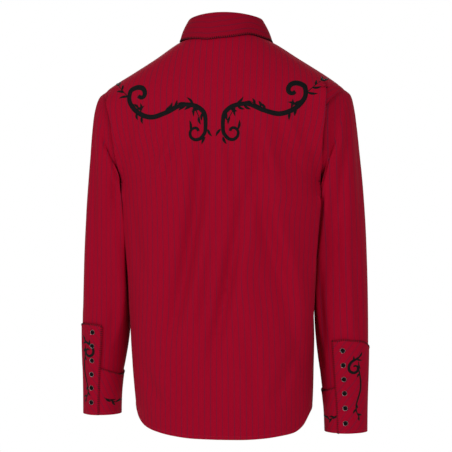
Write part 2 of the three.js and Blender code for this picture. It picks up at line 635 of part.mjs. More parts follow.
const SLEEVE_STEPS = [0.5, 1, 1.6, 2.3, 3, 3.7, 4.4, 5.1, 5.8, 6.5, 7.2, 7.9, 8.6, 9.3, 10, 10.7, 11.4];

// A sleeve tube with its creases, from the armhole to a little way under the cuff.
function sleeve(name, rings, creases, side) {
  const grid = [];
  const steps = [0, ...SLEEVE_STEPS, 12];
  for (const t of steps) {
    const line = [];
    for (let c = 0; c < SLEEVE_COLUMNS; c += 1) {
      const turn = (360 * c) / SLEEVE_COLUMNS;
      const p = sleevePoint(rings, t, turn);
      if (t === 0) p.copy(capStart(p, sleevePoint(rings, 0.5, turn), rings[0], side));
      const by = creaseDepth(creases, t, turn);
      const middle = sleevePoint(rings, t, turn + 180).add(p).multiplyScalar(0.5);
      p.addScaledVector(p.clone().sub(middle).normalize(), by);
      line.push(side > 0 ? p : mirrored(p));
    }
    grid.push(line);
  }
  const core = (p) => new THREE.Vector3(side * 245, 4, p.z);
  return wall(name, grid, gridNormals(grid, true, core), -HALF_WALL, HALF_WALL, true);
}

shirt.add(sleeve("sleeve_left", LEFT_SLEEVE, LEFT_CREASES, 1));
shirt.add(sleeve("sleeve_right", RIGHT_SLEEVE, RIGHT_CREASES, -1));

// A cuff piece over the sleeve's rings between two angles, with its own upper edge.
function cuffPiece(name, rings, side, turns, heightColumn, level) {
  const foot = rings[rings.length - 1].outZ;
  const grid = [];
  for (const down of [0, 0.16, 0.34, 0.54, 0.76, 1]) {
    const line = [];
    for (const turn of turns) {
      const z = foot + read(CUFF_TOP, "turn", heightColumn, turn) * (1 - down);
      const p = sleevePoint(rings, sleeveAt(rings, z), turn);
      line.push(side > 0 ? p : mirrored(p));
    }
    grid.push(line);
  }
  const core = (p) => new THREE.Vector3(side * 245, -4, p.z);
  const normals = gridNormals(grid, false, core);
  const low = (r, c) => level(turns[c]) - HALF_WALL;
  const high = (r, c) => level(turns[c]) + HALF_WALL;
  return wall(name, grid, normals, low, high, false);
}

// Angles from one to another past the sleeve's own columns, so that the walls nest.
function turnsBetween(from, to, extra = []) {
  const step = 360 / SLEEVE_COLUMNS;
  const between = [];
  for (let turn = Math.floor(from / step) * step; turn > to; turn -= step) between.push(turn);
  const kept = between.filter((turn) => from - turn > 2 && turn - to > 2);
  return [from, ...kept, ...extra, to].sort((a, b) => b - a);
}

function cuff(word, rings, side) {
  const { lap, join, snapTurn, snapZ } = CUFFS[word];
  const hidden = lap - 24;
  // Over the under piece the lap stands one wall further out, and it sinks back past it.
  const lapLevel = (turn) => LAID_ON * (1 + THREE.MathUtils.smoothstep(turn, hidden - 24, hidden - 4)) + 0.1;
  const joinGap = THREE.MathUtils.radToDeg(SEAM_GAP / 2 / 43);
  const lapTurns = turnsBetween(lap, join + joinGap, [hidden]);
  const underTurns = turnsBetween(join - joinGap, hidden - 360, []);
  shirt.add(cuffPiece(`cuff_${word}_lap`, rings, side, lapTurns, "tall", lapLevel));
  shirt.add(cuffPiece(`cuff_${word}_under`, rings, side, underTurns, "under", () => LAID_ON + 0.1));
  snapZ.forEach((z, i) => {
    const t = sleeveAt(rings, z);
    const p = sleevePoint(rings, t, snapTurn);
    const round = sleevePoint(rings, t, snapTurn + 1).sub(sleevePoint(rings, t, snapTurn - 1));
    const down = sleevePoint(rings, t + 0.05, snapTurn).sub(sleevePoint(rings, t - 0.05, snapTurn));
    const n = down.cross(round).normalize();
    if (n.y < 0) n.negate();
    p.addScaledVector(n, lapLevel(snapTurn) + HALF_WALL + SEAM_GAP);
    shirt.add(snap(`snap_${word}_${i + 1}`, side > 0 ? p : mirrored(p), side > 0 ? n : mirrored(n)));
  });
}

cuff("left", LEFT_SLEEVE, 1);
cuff("right", RIGHT_SLEEVE, -1);

export default shirt;
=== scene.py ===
import math

import bpy
import numpy as np
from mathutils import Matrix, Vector
from mathutils.bvhtree import BVHTree


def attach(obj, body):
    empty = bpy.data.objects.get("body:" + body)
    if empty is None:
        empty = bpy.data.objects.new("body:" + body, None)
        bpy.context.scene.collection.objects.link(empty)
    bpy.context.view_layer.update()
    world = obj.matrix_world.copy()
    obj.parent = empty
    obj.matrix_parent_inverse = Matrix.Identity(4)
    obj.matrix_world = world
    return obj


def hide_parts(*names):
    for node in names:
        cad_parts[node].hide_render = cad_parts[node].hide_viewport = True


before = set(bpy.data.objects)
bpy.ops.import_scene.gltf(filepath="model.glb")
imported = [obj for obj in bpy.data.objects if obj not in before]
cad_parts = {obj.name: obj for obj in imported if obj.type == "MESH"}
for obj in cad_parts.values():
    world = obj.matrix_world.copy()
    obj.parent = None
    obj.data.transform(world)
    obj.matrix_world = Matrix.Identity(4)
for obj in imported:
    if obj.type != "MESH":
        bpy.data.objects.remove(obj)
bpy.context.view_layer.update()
print("frame loaded")

# Western snap shirt, filled out with no wearer. Sizes in mm until a mesh is made of them.
# Angles on the body: 90 behind, -90 in front, 0 at the wearer's left.


def table(names, rows):  # columns by name
    return dict(zip(names.split(), np.array(rows, float).T))


def read(rows, name, at):  # smooth value of a column by the first one, never past its rows
    place, value = next(iter(rows.values())), rows[name]
    at = np.asarray(at, float)
    if place[-1] < place[0]:
        place, at = -place, -at
    at = np.clip(at, place[0], place[-1])
    i = np.clip(np.searchsorted(place, at, side="right") - 1, 0, len(place) - 2)
    step = np.diff(place)
    slope = np.diff(value) / step
    a, b = slope[:-1], slope[1:]
    inner = np.where(a * b <= 0, 0, 2 * a * b / np.where(a * b <= 0, 1, a + b))
    bend = np.concatenate([[slope[0]], inner, [slope[-1]]])
    t = (at - place[i]) / step[i]
    s = 1 - t
    ends = value[i] * s * s * (1 + 2 * t) + value[i + 1] * t * t * (3 - 2 * t)
    return ends + step[i] * t * s * (bend[i] * s - bend[i + 1] * t)


def ease(value, low, high):  # smooth step
    t = np.clip((np.asarray(value, float) - low) / (high - low), 0, 1)
    return t * t * (3 - 2 * t)


def bell(value, middle, wide):
    return np.exp(-(((value - middle) / wide) ** 2))


def unit(v):
    return v / np.maximum(1e-9, np.linalg.norm(v, axis=-1, keepdims=True))


def runLength(points, axis=0):  # length along lines of points, from their start
    steps = np.linalg.norm(np.diff(points, axis=axis), axis=-1)
    return np.insert(np.cumsum(steps, axis=axis), 0, 0, axis=axis)


def sample(at, run, rows):  # rows of values read off at places along a run
    return np.stack([np.interp(at, run, rows[:, k]) for k in range(rows.shape[1])], axis=-1)


# Body surface.
shoulderZ, underarmZ = -104, -290  # the armhole's top and foot
bodyRings = table(
    "side half back front rise drop power shift",
    [
        (4, 71, 60, 53, 10, 76, 2.0, -2),
        (0, 75, 62, 56, 10, 74, 2.0, -2),
        (-14, 101, 71, 62, 9, 67, 2.0, -3),
        (-42, 143, 87, 75, 7, 53, 2.05, -4),
        (-72, 191, 102, 89, 4, 38, 2.12, -3),
        (-90, 219, 110, 97, 3, 31, 2.16, -1),
        (-104, 237, 115, 102, 2, 25, 2.2, 0),
        (-118, 246, 119, 107, 1, 20, 2.25, 0),
        (-135, 248, 123, 112, 0, 14, 2.3, 0),
        (-152, 245, 127, 116, 0, 9, 2.35, 0),
        (-180, 238, 131, 121, 0, 4, 2.42, 0),
        (-220, 224, 135, 127, 0, 0, 2.5, 0),
        (-250, 210, 136, 130, 0, 0, 2.55, 3),
        (-290, 198, 137, 132, 0, 0, 2.6, 6),
        (-312, 194, 137, 133, 0, 0, 2.6, 8),
        (-350, 189, 136, 134, 0, 0, 2.65, 8),
        (-440, 183, 134, 132, 0, 0, 2.65, 7),
        (-520, 182, 132, 130, 0, 0, 2.6, 6),
        (-584, 182, 131, 129, 0, 0, 2.6, 4),
        (-650, 180, 130, 127, 0, 0, 2.5, 3),
        (-720, 176, 128, 124, 0, 0, 2.45, 1),
        (-790, 168, 125, 119, 0, 0, 2.4, 0),
    ],
)
armhole = table(
    "side back front",
    [
        (-104, 2, -2),
        (-108, 24, -20),
        (-118, 45, -39),
        (-135, 62, -54),
        (-160, 71, -63),
        (-190, 75, -67),
        (-220, 71, -64),
        (-248, 60, -55),
        (-270, 43, -41),
        (-284, 23, -23),
        (-290, 2, -2),
    ],
)
shoulderSeam = table("side back", [(0, 17), (-30, 15), (-72, 8), (-104, 2)])
hem = table(
    "out back front lower",
    [
        (0, -784, -771, 0),
        (0.3, -783, -770, 1),
        (0.55, -779, -767, 3),
        (0.74, -773, -762, 5),
        (0.86, -766, -756, 8),
        (0.94, -753, -745, 10),
        (1, -728, -726, 9),
    ],
)
drape = table(
    "side left right",
    [
        (-200, 0, 0),
        (-262, 1, 2),
        (-292, 3, 9),
        (-320, 5, 18),
        (-350, 6, 21),
        (-440, 6, 21),
        (-520, 4, 16),
        (-580, 1, 6),
        (-640, 0, 0),
    ],
)
foldColumns = "xTop zTop xMid xFoot zFoot depth wide"
backFolds = table(
    foldColumns,
    [
        (27, -210, 62, 122, -640, 7, 23),
        (-40, -300, -18, 22, -650, 6, 23),
        (-55, -205, -84, -142, -640, 8, 23),
        (112, -160, 134, 152, -275, 5, 14),
        (-102, -165, -122, -146, -280, 5, 14),
    ],
)
frontFolds = table(
    foldColumns,
    [
        (60, -230, 84, 120, -640, 7, 23),
        (-52, -250, -78, -108, -650, 7, 23),
        (120, -190, 132, 148, -300, 5, 14),
        (-118, -185, -130, -142, -310, 5, 14),
    ],
)
# Smaller creases over the main folds, the same columns.
backCreases = table(
    foldColumns,
    [
        (22, -170, 50, 108, -660, 8.0, 13),
        (-64, -270, -24, 18, -670, 7.0, 12),
        (-72, -180, -100, -166, -650, 8.0, 13),
        (82, -150, 106, 134, -275, 5.5, 11),
        (-110, -154, -138, -166, -275, 5.5, 11),
        (70, -180, 88, 112, -345, 3.7, 10),
        (-20, -175, -30, -36, -330, 3.1, 10),
        (-78, -180, -92, -118, -350, 4.1, 11),
        (8, -380, 14, 30, -585, 3.4, 12),
        (150, -640, 128, 100, -735, 4.4, 12),
        (-150, -600, -132, -108, -726, 4.1, 12),
        (160, -330, 150, 146, -480, 3.7, 10),
        (-112, -400, -128, -150, -560, 3.7, 11),
        (-4, -600, 2, 10, -755, 2.7, 12),
        (62, -560, 74, 92, -730, 3.1, 12),
        (-62, -590, -70, -82, -745, 2.9, 12),
    ],
)
frontCreases = table(
    foldColumns,
    [
        (84, -180, 100, 122, -360, 2.2, 10),
        (-80, -185, -96, -120, -350, 2.2, 10),
        (40, -420, 48, 62, -640, 2.0, 12),
        (-38, -440, -48, -64, -660, 2.0, 12),
        (140, -620, 122, 100, -730, 2.2, 12),
        (-142, -600, -126, -104, -720, 2.2, 12),
    ],
)


def foldDepth(folds, x, z):  # a trough with a low ridge on each side
    total = np.zeros(np.broadcast(x, z).shape)
    for xTop, zTop, xMid, xFoot, zFoot, depth, wide in zip(*folds.values()):
        t = (zTop - z) / (zTop - zFoot)
        inside = (t > 0) & (t < 1)
        t = np.clip(t, 0, 1)
        line = xTop * (1 - t) ** 2 + 2 * t * (1 - t) * (2 * xMid - (xTop + xFoot) / 2) + xFoot * t * t
        d = np.abs(x - line) / wide
        fade = np.sin(np.pi * t) ** 0.7
        total += inside * depth * fade * (0.4 * np.exp(-((d - 1.9) ** 2)) - np.exp(-d * d))
    return total


def bodyDepth(side, behind):
    return np.where(behind, read(bodyRings, "back", side), read(bodyRings, "front", side))


def bodyPoint(angle, side, creases=False):
    angle, side = np.broadcast_arrays(np.asarray(angle, float), np.asarray(side, float))
    c, s = np.cos(np.radians(angle)), np.sin(np.radians(angle))
    behind = s >= 0
    power = 2 / read(bodyRings, "power", side)
    tilt = np.where(behind, read(bodyRings, "rise", side), -read(bodyRings, "drop", side))
    x = read(bodyRings, "half", side) * np.sign(c) * np.abs(c) ** power
    clear = np.where(behind, 1, ease(np.abs(x), 19.5, 50))
    fold = np.where(behind, foldDepth(backFolds, x, side), foldDepth(frontFolds, x, side))
    if creases:
        fold = fold + np.where(behind, foldDepth(backCreases, x, side), foldDepth(frontCreases, x, side))
    out = bodyDepth(side, behind) * np.abs(s) ** power
    y = np.sign(s) * (out + clear * fold * np.minimum(1, np.abs(s) * 1.5))
    wing = np.where(c > 0, read(drape, "left", side), -read(drape, "right", side))
    u = np.abs(90 - angle) / 90
    corner = np.where(s > 0, 17.5 * u**3 * np.maximum(0, 1 - u) ** 1.5, 0)
    shift = read(bodyRings, "shift", side) * (1 - s * s)
    return np.stack([x + wing * corner + shift, y, side + tilt * s * s], axis=-1)


def bodyNormal(angle, side):
    a = bodyPoint(angle + 0.5, side) - bodyPoint(angle - 0.5, side)
    b = bodyPoint(angle, side - 0.5) - bodyPoint(angle, side + 0.5)
    return unit(np.cross(b, a))


def angleAtDepth(y, side):
    y = np.asarray(y, float)
    power = read(bodyRings, "power", side)
    out = np.minimum(1, (np.abs(y) / bodyDepth(side, y >= 0)) ** (power / 2))
    return np.degrees(np.arcsin(out)) * np.sign(y)


def hemHeight(angle):
    c, s = np.cos(np.radians(angle)), np.sin(np.radians(angle))
    out = np.abs(c) ** 0.78
    height = np.where(s >= 0, read(hem, "back", out), read(hem, "front", out))
    return height - np.where(c < 0, read(hem, "lower", out), 0)


# Meshes from grids of points.
def gridNormals(grid, closed=False, core=(0.2, 0, 0, 40)):  # away from the line through the middle
    if closed:
        across = np.roll(grid, -1, axis=1) - np.roll(grid, 1, axis=1)
    else:
        across = np.gradient(grid, axis=1)
    normals = unit(np.cross(across, np.gradient(grid, axis=0)))
    inner = np.stack(
        [grid[..., 0] * core[0] + core[1], grid[..., 1] * 0 + core[2], grid[..., 2] - core[3]], axis=-1
    )
    return -normals if np.sum(np.sign(np.sum(normals * (grid - inner), axis=-1))) < 0 else normals


def addObject(name, data):
    obj = bpy.data.objects.new(name, data)
    bpy.context.scene.collection.objects.link(obj)
    return obj


def makeObject(name, points, quads, uv, caps, material, sharp=38):
    mesh = bpy.data.meshes.new(name)
    mesh.from_pydata((points * 0.001).tolist(), [], [tuple(q) for q in quads.tolist()] + caps)
    mesh.validate()
    mesh.uv_layers.new(name="cloth").data.foreach_set("uv", (uv * 0.001).ravel())
    mesh.polygons.foreach_set("use_smooth", np.ones(len(mesh.polygons), bool))
    mesh.set_sharp_from_angle(angle=math.radians(sharp))
    mesh.materials.append(material)
    return addObject(name, mesh)


def shell(name, grid, normals, low, high, uv, material, closed=False, shade=0.0):
    rows, cols = grid.shape[:2]
    count = rows * cols
    layers = [np.broadcast_to(level, (rows, cols))[..., None] * normals + grid for level in (high, low)]
    points = np.concatenate(layers).reshape(-1, 3)
    faces, coords = [], []

    def addFaces(corners):  # each corner is a layer, 0 outside and 1 inside, with its row and column
        at = [layer * count + row * cols + col % cols for layer, row, col in corners]
        faces.append(np.stack(at, 1))
        coords.append(np.stack([uv[row, col] for _, row, col in corners], 1))

    def addEdge(a, b):
        addFaces([(0, *a), (0, *b), (1, *b), (1, *a)])

    span = cols if closed else cols - 1
    r, c = (k.ravel() for k in np.meshgrid(np.arange(rows - 1), np.arange(span), indexing="ij"))
    outer = [(0, r, c), (0, r + 1, c), (0, r + 1, c + 1), (0, r, c + 1)]
    addFaces(outer)
    addFaces([(1, row, col) for _, row, col in outer[::-1]])
    c = np.arange(span)
    for row, turn in ((0, 1), (rows - 1, -1)):
        addEdge(*[(row + 0 * c, c), (row + 0 * c, c + 1)][::turn])
    if not closed:
        r = np.arange(rows - 1)
        for col, turn in ((0, -1), (cols - 1, 1)):
            addEdge(*[(r, col + 0 * r), (r + 1, col + 0 * r)][::turn])
    faces, coords = np.concatenate(faces), np.concatenate(coords)
    a, b, d, e = (points[faces[:, k]] for k in range(4))
    if np.sum(np.cross(a, b) * d) + np.sum(np.cross(a, d) * e) < 0:
        faces, coords = faces[:, ::-1], coords[:, ::-1]
    obj = makeObject(name, points, faces, coords.reshape(-1, 2), [], material)
    # painted shade: darker where cloth tucks under beside folds and seams, and over the collar's fall
    tone = obj.data.attributes.new("shade", "FLOAT", "POINT")
    tone.data.foreach_set(
        "value", np.tile(np.broadcast_to(shade, (rows, cols)).ravel(), 2).astype(np.float32)
    )
    return obj


def cloth(obj, nodeName):
    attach(obj, "root")
    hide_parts(nodeName)


# Materials.
def linear(code):  # sRGB hex to linear colour
    parts = [int(code[i : i + 2], 16) / 255 for i in (0, 2, 4)]
    return tuple(p / 12.92 if p <= 0.04045 else ((p + 0.055) / 1.055) ** 2.4 for p in parts) + (1,)


def node(tree, kind, settings=None, **links):  # adds a node with its settings and links
    made = tree.nodes.new(kind)
    for key, value in (settings or {}).items():
        if hasattr(made, key):
            setattr(made, key, value)
        else:
            made.inputs[key].default_value = value
    for key, source in links.items():
        tree.links.new(source, made.inputs[key])
    return made


def newMaterial(name):
    made = bpy.data.materials.new(name)
    made.use_nodes = True
    tree = made.node_tree
    return made, tree, tree.nodes["Principled BSDF"]


def maths(tree, operation, a, b=None):
    made = tree.nodes.new("ShaderNodeMath")
    made.operation = operation
    for i, value in enumerate((a, b)):
        if isinstance(value, (int, float)):
            made.inputs[i].default_value = value
        elif value is not None:
            tree.links.new(value, made.inputs[i])
    return made.outputs[0]


def scaled(tree, value, by, plus=0.0):
    made = maths(tree, "MULTIPLY", value, by)
    return maths(tree, "ADD", made, plus) if plus else made


def bands(tree, vector, direction, scale, distortion):
    settings = {
        "wave_type": "BANDS",
        "bands_direction": direction,
        "Scale": scale,
        "Distortion": distortion,
    }
    return node(tree, "ShaderNodeTexWave", settings, Vector=vector).outputs["Fac"]


def mix(tree, factor, a, b):
    made = tree.nodes.new("ShaderNodeMix")
    made.data_type = "RGBA"
    for name, value in (("Factor", factor), ("A", a), ("B", b)):
        target = [s for s in made.inputs if s.name == name and s.type in ("RGBA", "VALUE")]
        target = target[0] if name == "Factor" else [s for s in target if s.type == "RGBA"][0]
        if isinstance(value, (int, float, tuple)):
            target.default_value = value
        else:
            tree.links.new(value, target)
    return [s for s in made.outputs if s.type == "RGBA"][0]


def noise(tree, vector, scale, detail=2.0, stretch=(1, 1, 1)):
    moved = node(tree, "ShaderNodeMapping", {"Scale": stretch}, Vector=vector)
    return node(
        tree, "ShaderNodeTexNoise", {"Scale": scale, "Detail": detail}, Vector=moved.outputs[0]
    ).outputs[0]


stripe = {"pitch": 11.5, "line": 1.5, "soft": 1.3, "thin": 0.7}
redCloth = {
    "base": "a00023",
    "heather": "8c0124",
    "cloud": "aa032a",
    "line": "7a1230",
    "light": "a80427",
    # painted shade: the near-black red that shaded cloth is mixed toward
    "paintedShade": "240007",
    "fuzz": "e9a0a8",
}


def stripedCotton():  # dyed cotton poplin with woven pinstripes: matt, faintly heathered, soft rim of fuzz
    made, tree, shader = newMaterial("red pinstripe cotton")
    tone = {name: linear(code) for name, code in redCloth.items()}
    uv = node(tree, "ShaderNodeUVMap", {"uv_map": "cloth"}).outputs[0]
    across = node(tree, "ShaderNodeSeparateXYZ", Vector=uv).outputs[0]
    turns = maths(tree, "DIVIDE", across, stripe["pitch"] * 0.001)

    def lineMask(place, wide, soft):  # 1 on a woven line, 0 between lines
        within = maths(tree, "FRACT", maths(tree, "ADD", turns, place))
        near = maths(tree, "ABSOLUTE", maths(tree, "SUBTRACT", within, 0.5))
        inner, outer = ((wide + k * soft) / 2 / stripe["pitch"] for k in (-1, 1))
        settings = {
            "interpolation_type": "SMOOTHSTEP",
            "From Min": inner,
            "From Max": outer,
            "To Min": 1,
            "To Max": 0,
        }
        return node(tree, "ShaderNodeMapRange", settings, Value=near).outputs[0]

    heather = noise(tree, uv, 900, 3, (1, 0.12, 1))
    cloudy = noise(tree, uv, 22, 3)
    slub = noise(tree, uv, 1500, 2, (1, 0.03, 1))
    patchy = noise(tree, uv, 130, 2, (1, 0.14, 1))
    shade = node(tree, "ShaderNodeAttribute", {"attribute_name": "shade"}).outputs["Fac"]
    strength = maths(tree, "ADD", scaled(tree, slub, 0.5), scaled(tree, patchy, 1.4))
    broken = maths(tree, "MULTIPLY", lineMask(0.5, stripe["line"], stripe["soft"]), strength)
    base = mix(tree, scaled(tree, heather, 0.34), tone["base"], tone["heather"])
    base = mix(tree, scaled(tree, cloudy, 0.16), base, tone["cloud"])
    base = mix(tree, scaled(tree, lineMask(0.0, stripe["thin"], 0.5), 0.5), base, tone["light"])
    base = mix(tree, maths(tree, "MINIMUM", broken, 1.0), base, tone["line"])
    # painted shade: the shade attribute mixes the cloth toward a near-black red
    base = mix(tree, scaled(tree, shade, 0.75), base, tone["paintedShade"])
    tree.links.new(base, shader.inputs["Base Color"])
    warp, weft = (bands(tree, uv, way, 340.0, 0.4) for way in "XY")
    weave = maths(tree, "ADD", maths(tree, "MULTIPLY", warp, weft), scaled(tree, heather, 0.6))
    bump = node(tree, "ShaderNodeBump", {"Strength": 0.25, "Distance": 0.00012}, Height=weave).outputs[0]
    rumple = {"Strength": 0.25, "Distance": 0.0008}
    soft = node(tree, "ShaderNodeBump", rumple, Height=noise(tree, uv, 60, 2), Normal=bump)
    tree.links.new(soft.outputs[0], shader.inputs["Normal"])
    tree.links.new(scaled(tree, heather, 0.12, 0.76), shader.inputs["Roughness"])
    shader.inputs["Sheen Weight"].default_value = 0.06
    shader.inputs["Sheen Roughness"].default_value = 0.3
    shader.inputs["Sheen Tint"].default_value = tone["fuzz"]
    shader.inputs["Specular IOR Level"].default_value = 0.08
    return made


def blackThread():  # rayon satin stitch: near black, with a soft grey gleam along the threads partly painted into the base colour
    made, tree, shader = newMaterial("black rayon thread")
    uv = node(tree, "ShaderNodeUVMap", {"uv_map": "cloth"}).outputs[0]
    strands = bands(tree, uv, "X", 420.0, 1.2)
    # painted gleam: the base colour is lighter along the raised strands, over the thread's own near black
    tree.links.new(mix(tree, strands, linear("040405"), linear("121215")), shader.inputs["Base Color"])
    bump = node(tree, "ShaderNodeBump", {"Strength": 0.5, "Distance": 0.0002}, Height=strands)
    tree.links.new(bump.outputs[0], shader.inputs["Normal"])
    tree.links.new(scaled(tree, noise(tree, uv, 300, 2), 0.15, 0.5), shader.inputs["Roughness"])
    shader.inputs["Specular IOR Level"].default_value = 0.1
    return made


def mottled(name, scale, detail, dark, light):  # a material whose colour drifts between two tones
    made, tree, shader = newMaterial(name)
    grain = noise(tree, node(tree, "ShaderNodeTexCoord").outputs["Object"], scale, detail)
    tree.links.new(mix(tree, grain, linear(dark), linear(light)), shader.inputs["Base Color"])
    return made, tree, shader, grain


def redThread():  # sewing thread a shade off the cloth, with a slight gleam
    made, _, shader, _ = mottled("red sewing thread", 1800, 2, "8a0a22", "b01a34")
    shader.inputs["Roughness"].default_value = 0.55
    return made


def snapCap():  # black pearl cap: deep gloss with a faint cloudy depth
    made, tree, shader, cloudy = mottled("black pearl snap cap", 700, 3, "030303", "0a0a0b")
    tree.links.new(scaled(tree, cloudy, 0.1, 0.16), shader.inputs["Roughness"])
    shader.inputs["Specular IOR Level"].default_value = 0.08
    return made


def snapRim():  # nickel-plated prong ring, brushed by wear
    made, tree, shader, worn = mottled("nickel snap rim", 1400, 3, "a9a9ac", "d8d8da")
    tree.links.new(scaled(tree, worn, 0.2, 0.18), shader.inputs["Roughness"])
    shader.inputs["Metallic"].default_value = 1
    return made


cotton, thread, tonal = stripedCotton(), blackThread(), redThread()
capGloss, rimMetal = snapCap(), snapRim()
print("materials made")

# Body panels.
hemLow = -784.0  # the hem's lowest point behind
hemBlend = 120.0  # rows follow the hem within this height of it
hemSide = -726.0


def bodyRows():
    upper = np.concatenate(
        [
            np.arange(0, -100, -5.0),
            np.arange(-100, -132, -2.0),
            np.arange(-132, -262, -5.0),
            np.arange(-262, -291, -2.5),
            np.arange(-295, hemLow + hemBlend, -5.0),
        ]
    )
    fromHem = np.array(
        [116, 104, 92, 80, 68, 56, 45, 35, 27, 20, 14.5, 10.5, 8.4, 7.4, 6.4, 5.2, 2.6, 1.2, 0]
    )
    return upper, fromHem


def rowHeights(angles, upper, fromHem):  # side heights of every row for its angles
    rows = [np.full_like(angles[i], side) for i, side in enumerate(upper)]
    for i, down in enumerate(fromHem / hemBlend, len(upper)):
        rows.append(hemHeight(angles[i]) * (1 - down) + (hemLow + hemBlend) * down)
    return rows


def panelEdge(side, column):
    if side > shoulderZ:
        return float(angleAtDepth(read(shoulderSeam, "back", side), side))
    if side >= underarmZ:
        return float(angleAtDepth(read(armhole, column, side), side))
    return 0.02 if column == "back" else -0.02


edgeSteps = np.array([0, 1.1, 2.4, 4.2, 6.0, 7.0, 8.2, 10.5])
backSteps = np.concatenate([edgeSteps, np.arange(12, 68, 1.75)])  # fine enough for the armhole folds


def bodyPanel(name, columns, fromAngle, toAngle, pulls, centre, nearEdge=edgeSteps, shape=None):
    upper, fromHem = bodyRows()
    sides = np.concatenate([upper, np.maximum(hemLow + fromHem, hemSide)])
    inner = np.linspace(0, 1, columns + 1)[1:-1]
    angles, goals, mids = [], [], []
    for side in sides:
        start, end = fromAngle(side), toAngle(side)
        fine = np.linspace(start, end, 420)
        run = runLength(bodyPoint(fine, side))
        pullA, pullB = pulls(side)
        total = run[-1] - pullA - pullB
        steps = nearEdge * min(1, total / 330)
        row = np.concatenate([steps, steps[-1] + (total - 2 * steps[-1]) * inner, total - steps[::-1]])
        angles.append(np.interp(row + pullA, run, fine))
        goals.append(row)
        mids.append(np.interp(centre, fine, run) - pullA if start < end else run[-1] - pullA)
    heights = np.array(rowHeights(angles, upper, fromHem))
    grid = bodyPoint(np.array(angles), heights, True)
    goals = np.array(goals)
    shade, turned = 0 * goals, 0 * goals
    if shape:
        grid, shade, turned = shape(grid, sides, goals)
    scale = 0.92 + 0.08 * ease(-sides, 90, 320)
    run = runLength(grid, 1)
    zero = np.array([np.interp(m, g, r) for m, g, r in zip(mids, goals, run)])
    u = (run - zero[:, None]) * scale[:, None]
    v = np.broadcast_to(runLength(grid[:, grid.shape[1] // 2])[:, None], u.shape)
    askew = math.radians(52)  # stripes on the cloth turned over the shoulder
    c, s = math.cos(askew), math.sin(askew)
    leant = np.stack([u * c + v * s, v * c - u * s], axis=-1)
    return {
        "name": name,
        "sides": sides,
        "heights": heights,
        "grid": grid,
        "normals": gridNormals(grid),
        "uv": np.where(turned[..., None] > 0.5, leant, np.stack([u, v], axis=-1)),
        "edge": np.minimum(goals, goals[:, -1:] - goals),
        "shade": shade,
    }


def thickness(panel):  # the felled seams and the hem stand up a little
    hemFold = 0.5 * (1 - ease(panel["heights"] - panel["heights"][-1], 6.4, 7.6))
    seam = 0.45 * (1 - ease(panel["edge"], 6.2, 7.6))
    return 0.4 + np.maximum(hemFold, seam)


def seamPulls(side):
    return (0.4, 0.4) if underarmZ <= side <= shoulderZ else (-0.3, -0.3)


# The back hangs out over each armhole in a flat fold. By height: where the fold's edge lies and how much of
# the fold is there; then how far it is drawn out, how wide it turns, its height and where painted shadow
# darkens the cloth beside it.
overhang = {
    "left": {
        "line": table(
            "side x amount",
            [
                (-92, 232, 0), (-104, 229, 0), (-136, 220, 1), (-171, 211, 1), (-220, 204, 1),
                (-250, 200, 0.9), (-285, 197, 0.45), (-330, 194, 0.45), (-420, 188, 0.3),
                (-520, 182, 0),
            ],
        ),
        "out": 10,
        "at": 8,
        "wide": 4.5,
        "tall": 7,
        "shadowAt": -2.5,
    },
    "right": {
        "line": table(
            "side x amount",
            [
                (-88, 205, 0), (-98, 205, 0.5), (-112, 204.5, 1), (-147, 203.5, 1), (-206, 197, 1),
                (-250, 194.5, 0.85), (-285, 193, 0.45), (-330, 192, 0.6), (-420, 187, 0.45),
                (-520, 181, 0),
            ],
        ),
        "out": 11.5,
        "at": 10,
        "wide": 5.5,
        "tall": 6,
        "shadowAt": 0.6,
    },
}


def fromFold(word, grid, sides, goals):  # distance in from the fold's edge, row by row
    side = 1 if word == "left" else -1
    edge = read(overhang[word]["line"], "x", sides)
    rows = []
    for i, row in enumerate(grid):
        out, at = (side * row[:, 0])[::-side], goals[i][::-side]
        half = len(out) // 2
        top = half + np.argmax(out[half:])
        place = np.interp(min(edge[i], out[top] - 0.5), out[half : top + 1], at[half : top + 1])
        rows.append([place, np.interp(0, grid[i][::-1, 0], goals[i][::-1])])
    place, middle = np.array(rows).T
    reach = place - middle
    smooth = np.array(
        [np.sum(reach * w) / np.sum(w) for w in (np.exp(-(((sides - s) / 14) ** 2)) for s in sides)]
    )
    return side * (goals - (middle + smooth)[:, None])


def backShape(grid, sides, goals):
    shaped, shade, turned = grid.copy(), 0 * goals, 0 * goals
    for word, side in (("left", 1), ("right", -1)):
        fold, q = overhang[word], fromFold(word, grid, sides, goals)
        amount = read(fold["line"], "amount", sides)[:, None]
        tuck = amount * (1 - ease(-sides, 270, 292))[:, None]
        out = bell(q, fold["at"], fold["wide"]) * amount - 0.3 * bell(q, 0.5, 4) * tuck
        back = ease(q, 2, fold["at"]) * (1 - ease(q, fold["at"] + 2, fold["at"] + 34))
        shaped[..., 0] += side * fold["out"] * out
        shaped[..., 1] += fold["tall"] * back * amount
        # painted shadow: the cloth beside the fold's edge is darkened through the shade attribute
        dark = bell(q, fold["shadowAt"], 4.2) * amount * (1 - 0.5 * ease(-sides, 290, 420))[:, None]
        shade = np.maximum(shade, dark)
        if side < 0:
            turned = (q < 1.5) & (sides[:, None] < -70)
    return shaped, shade, turned


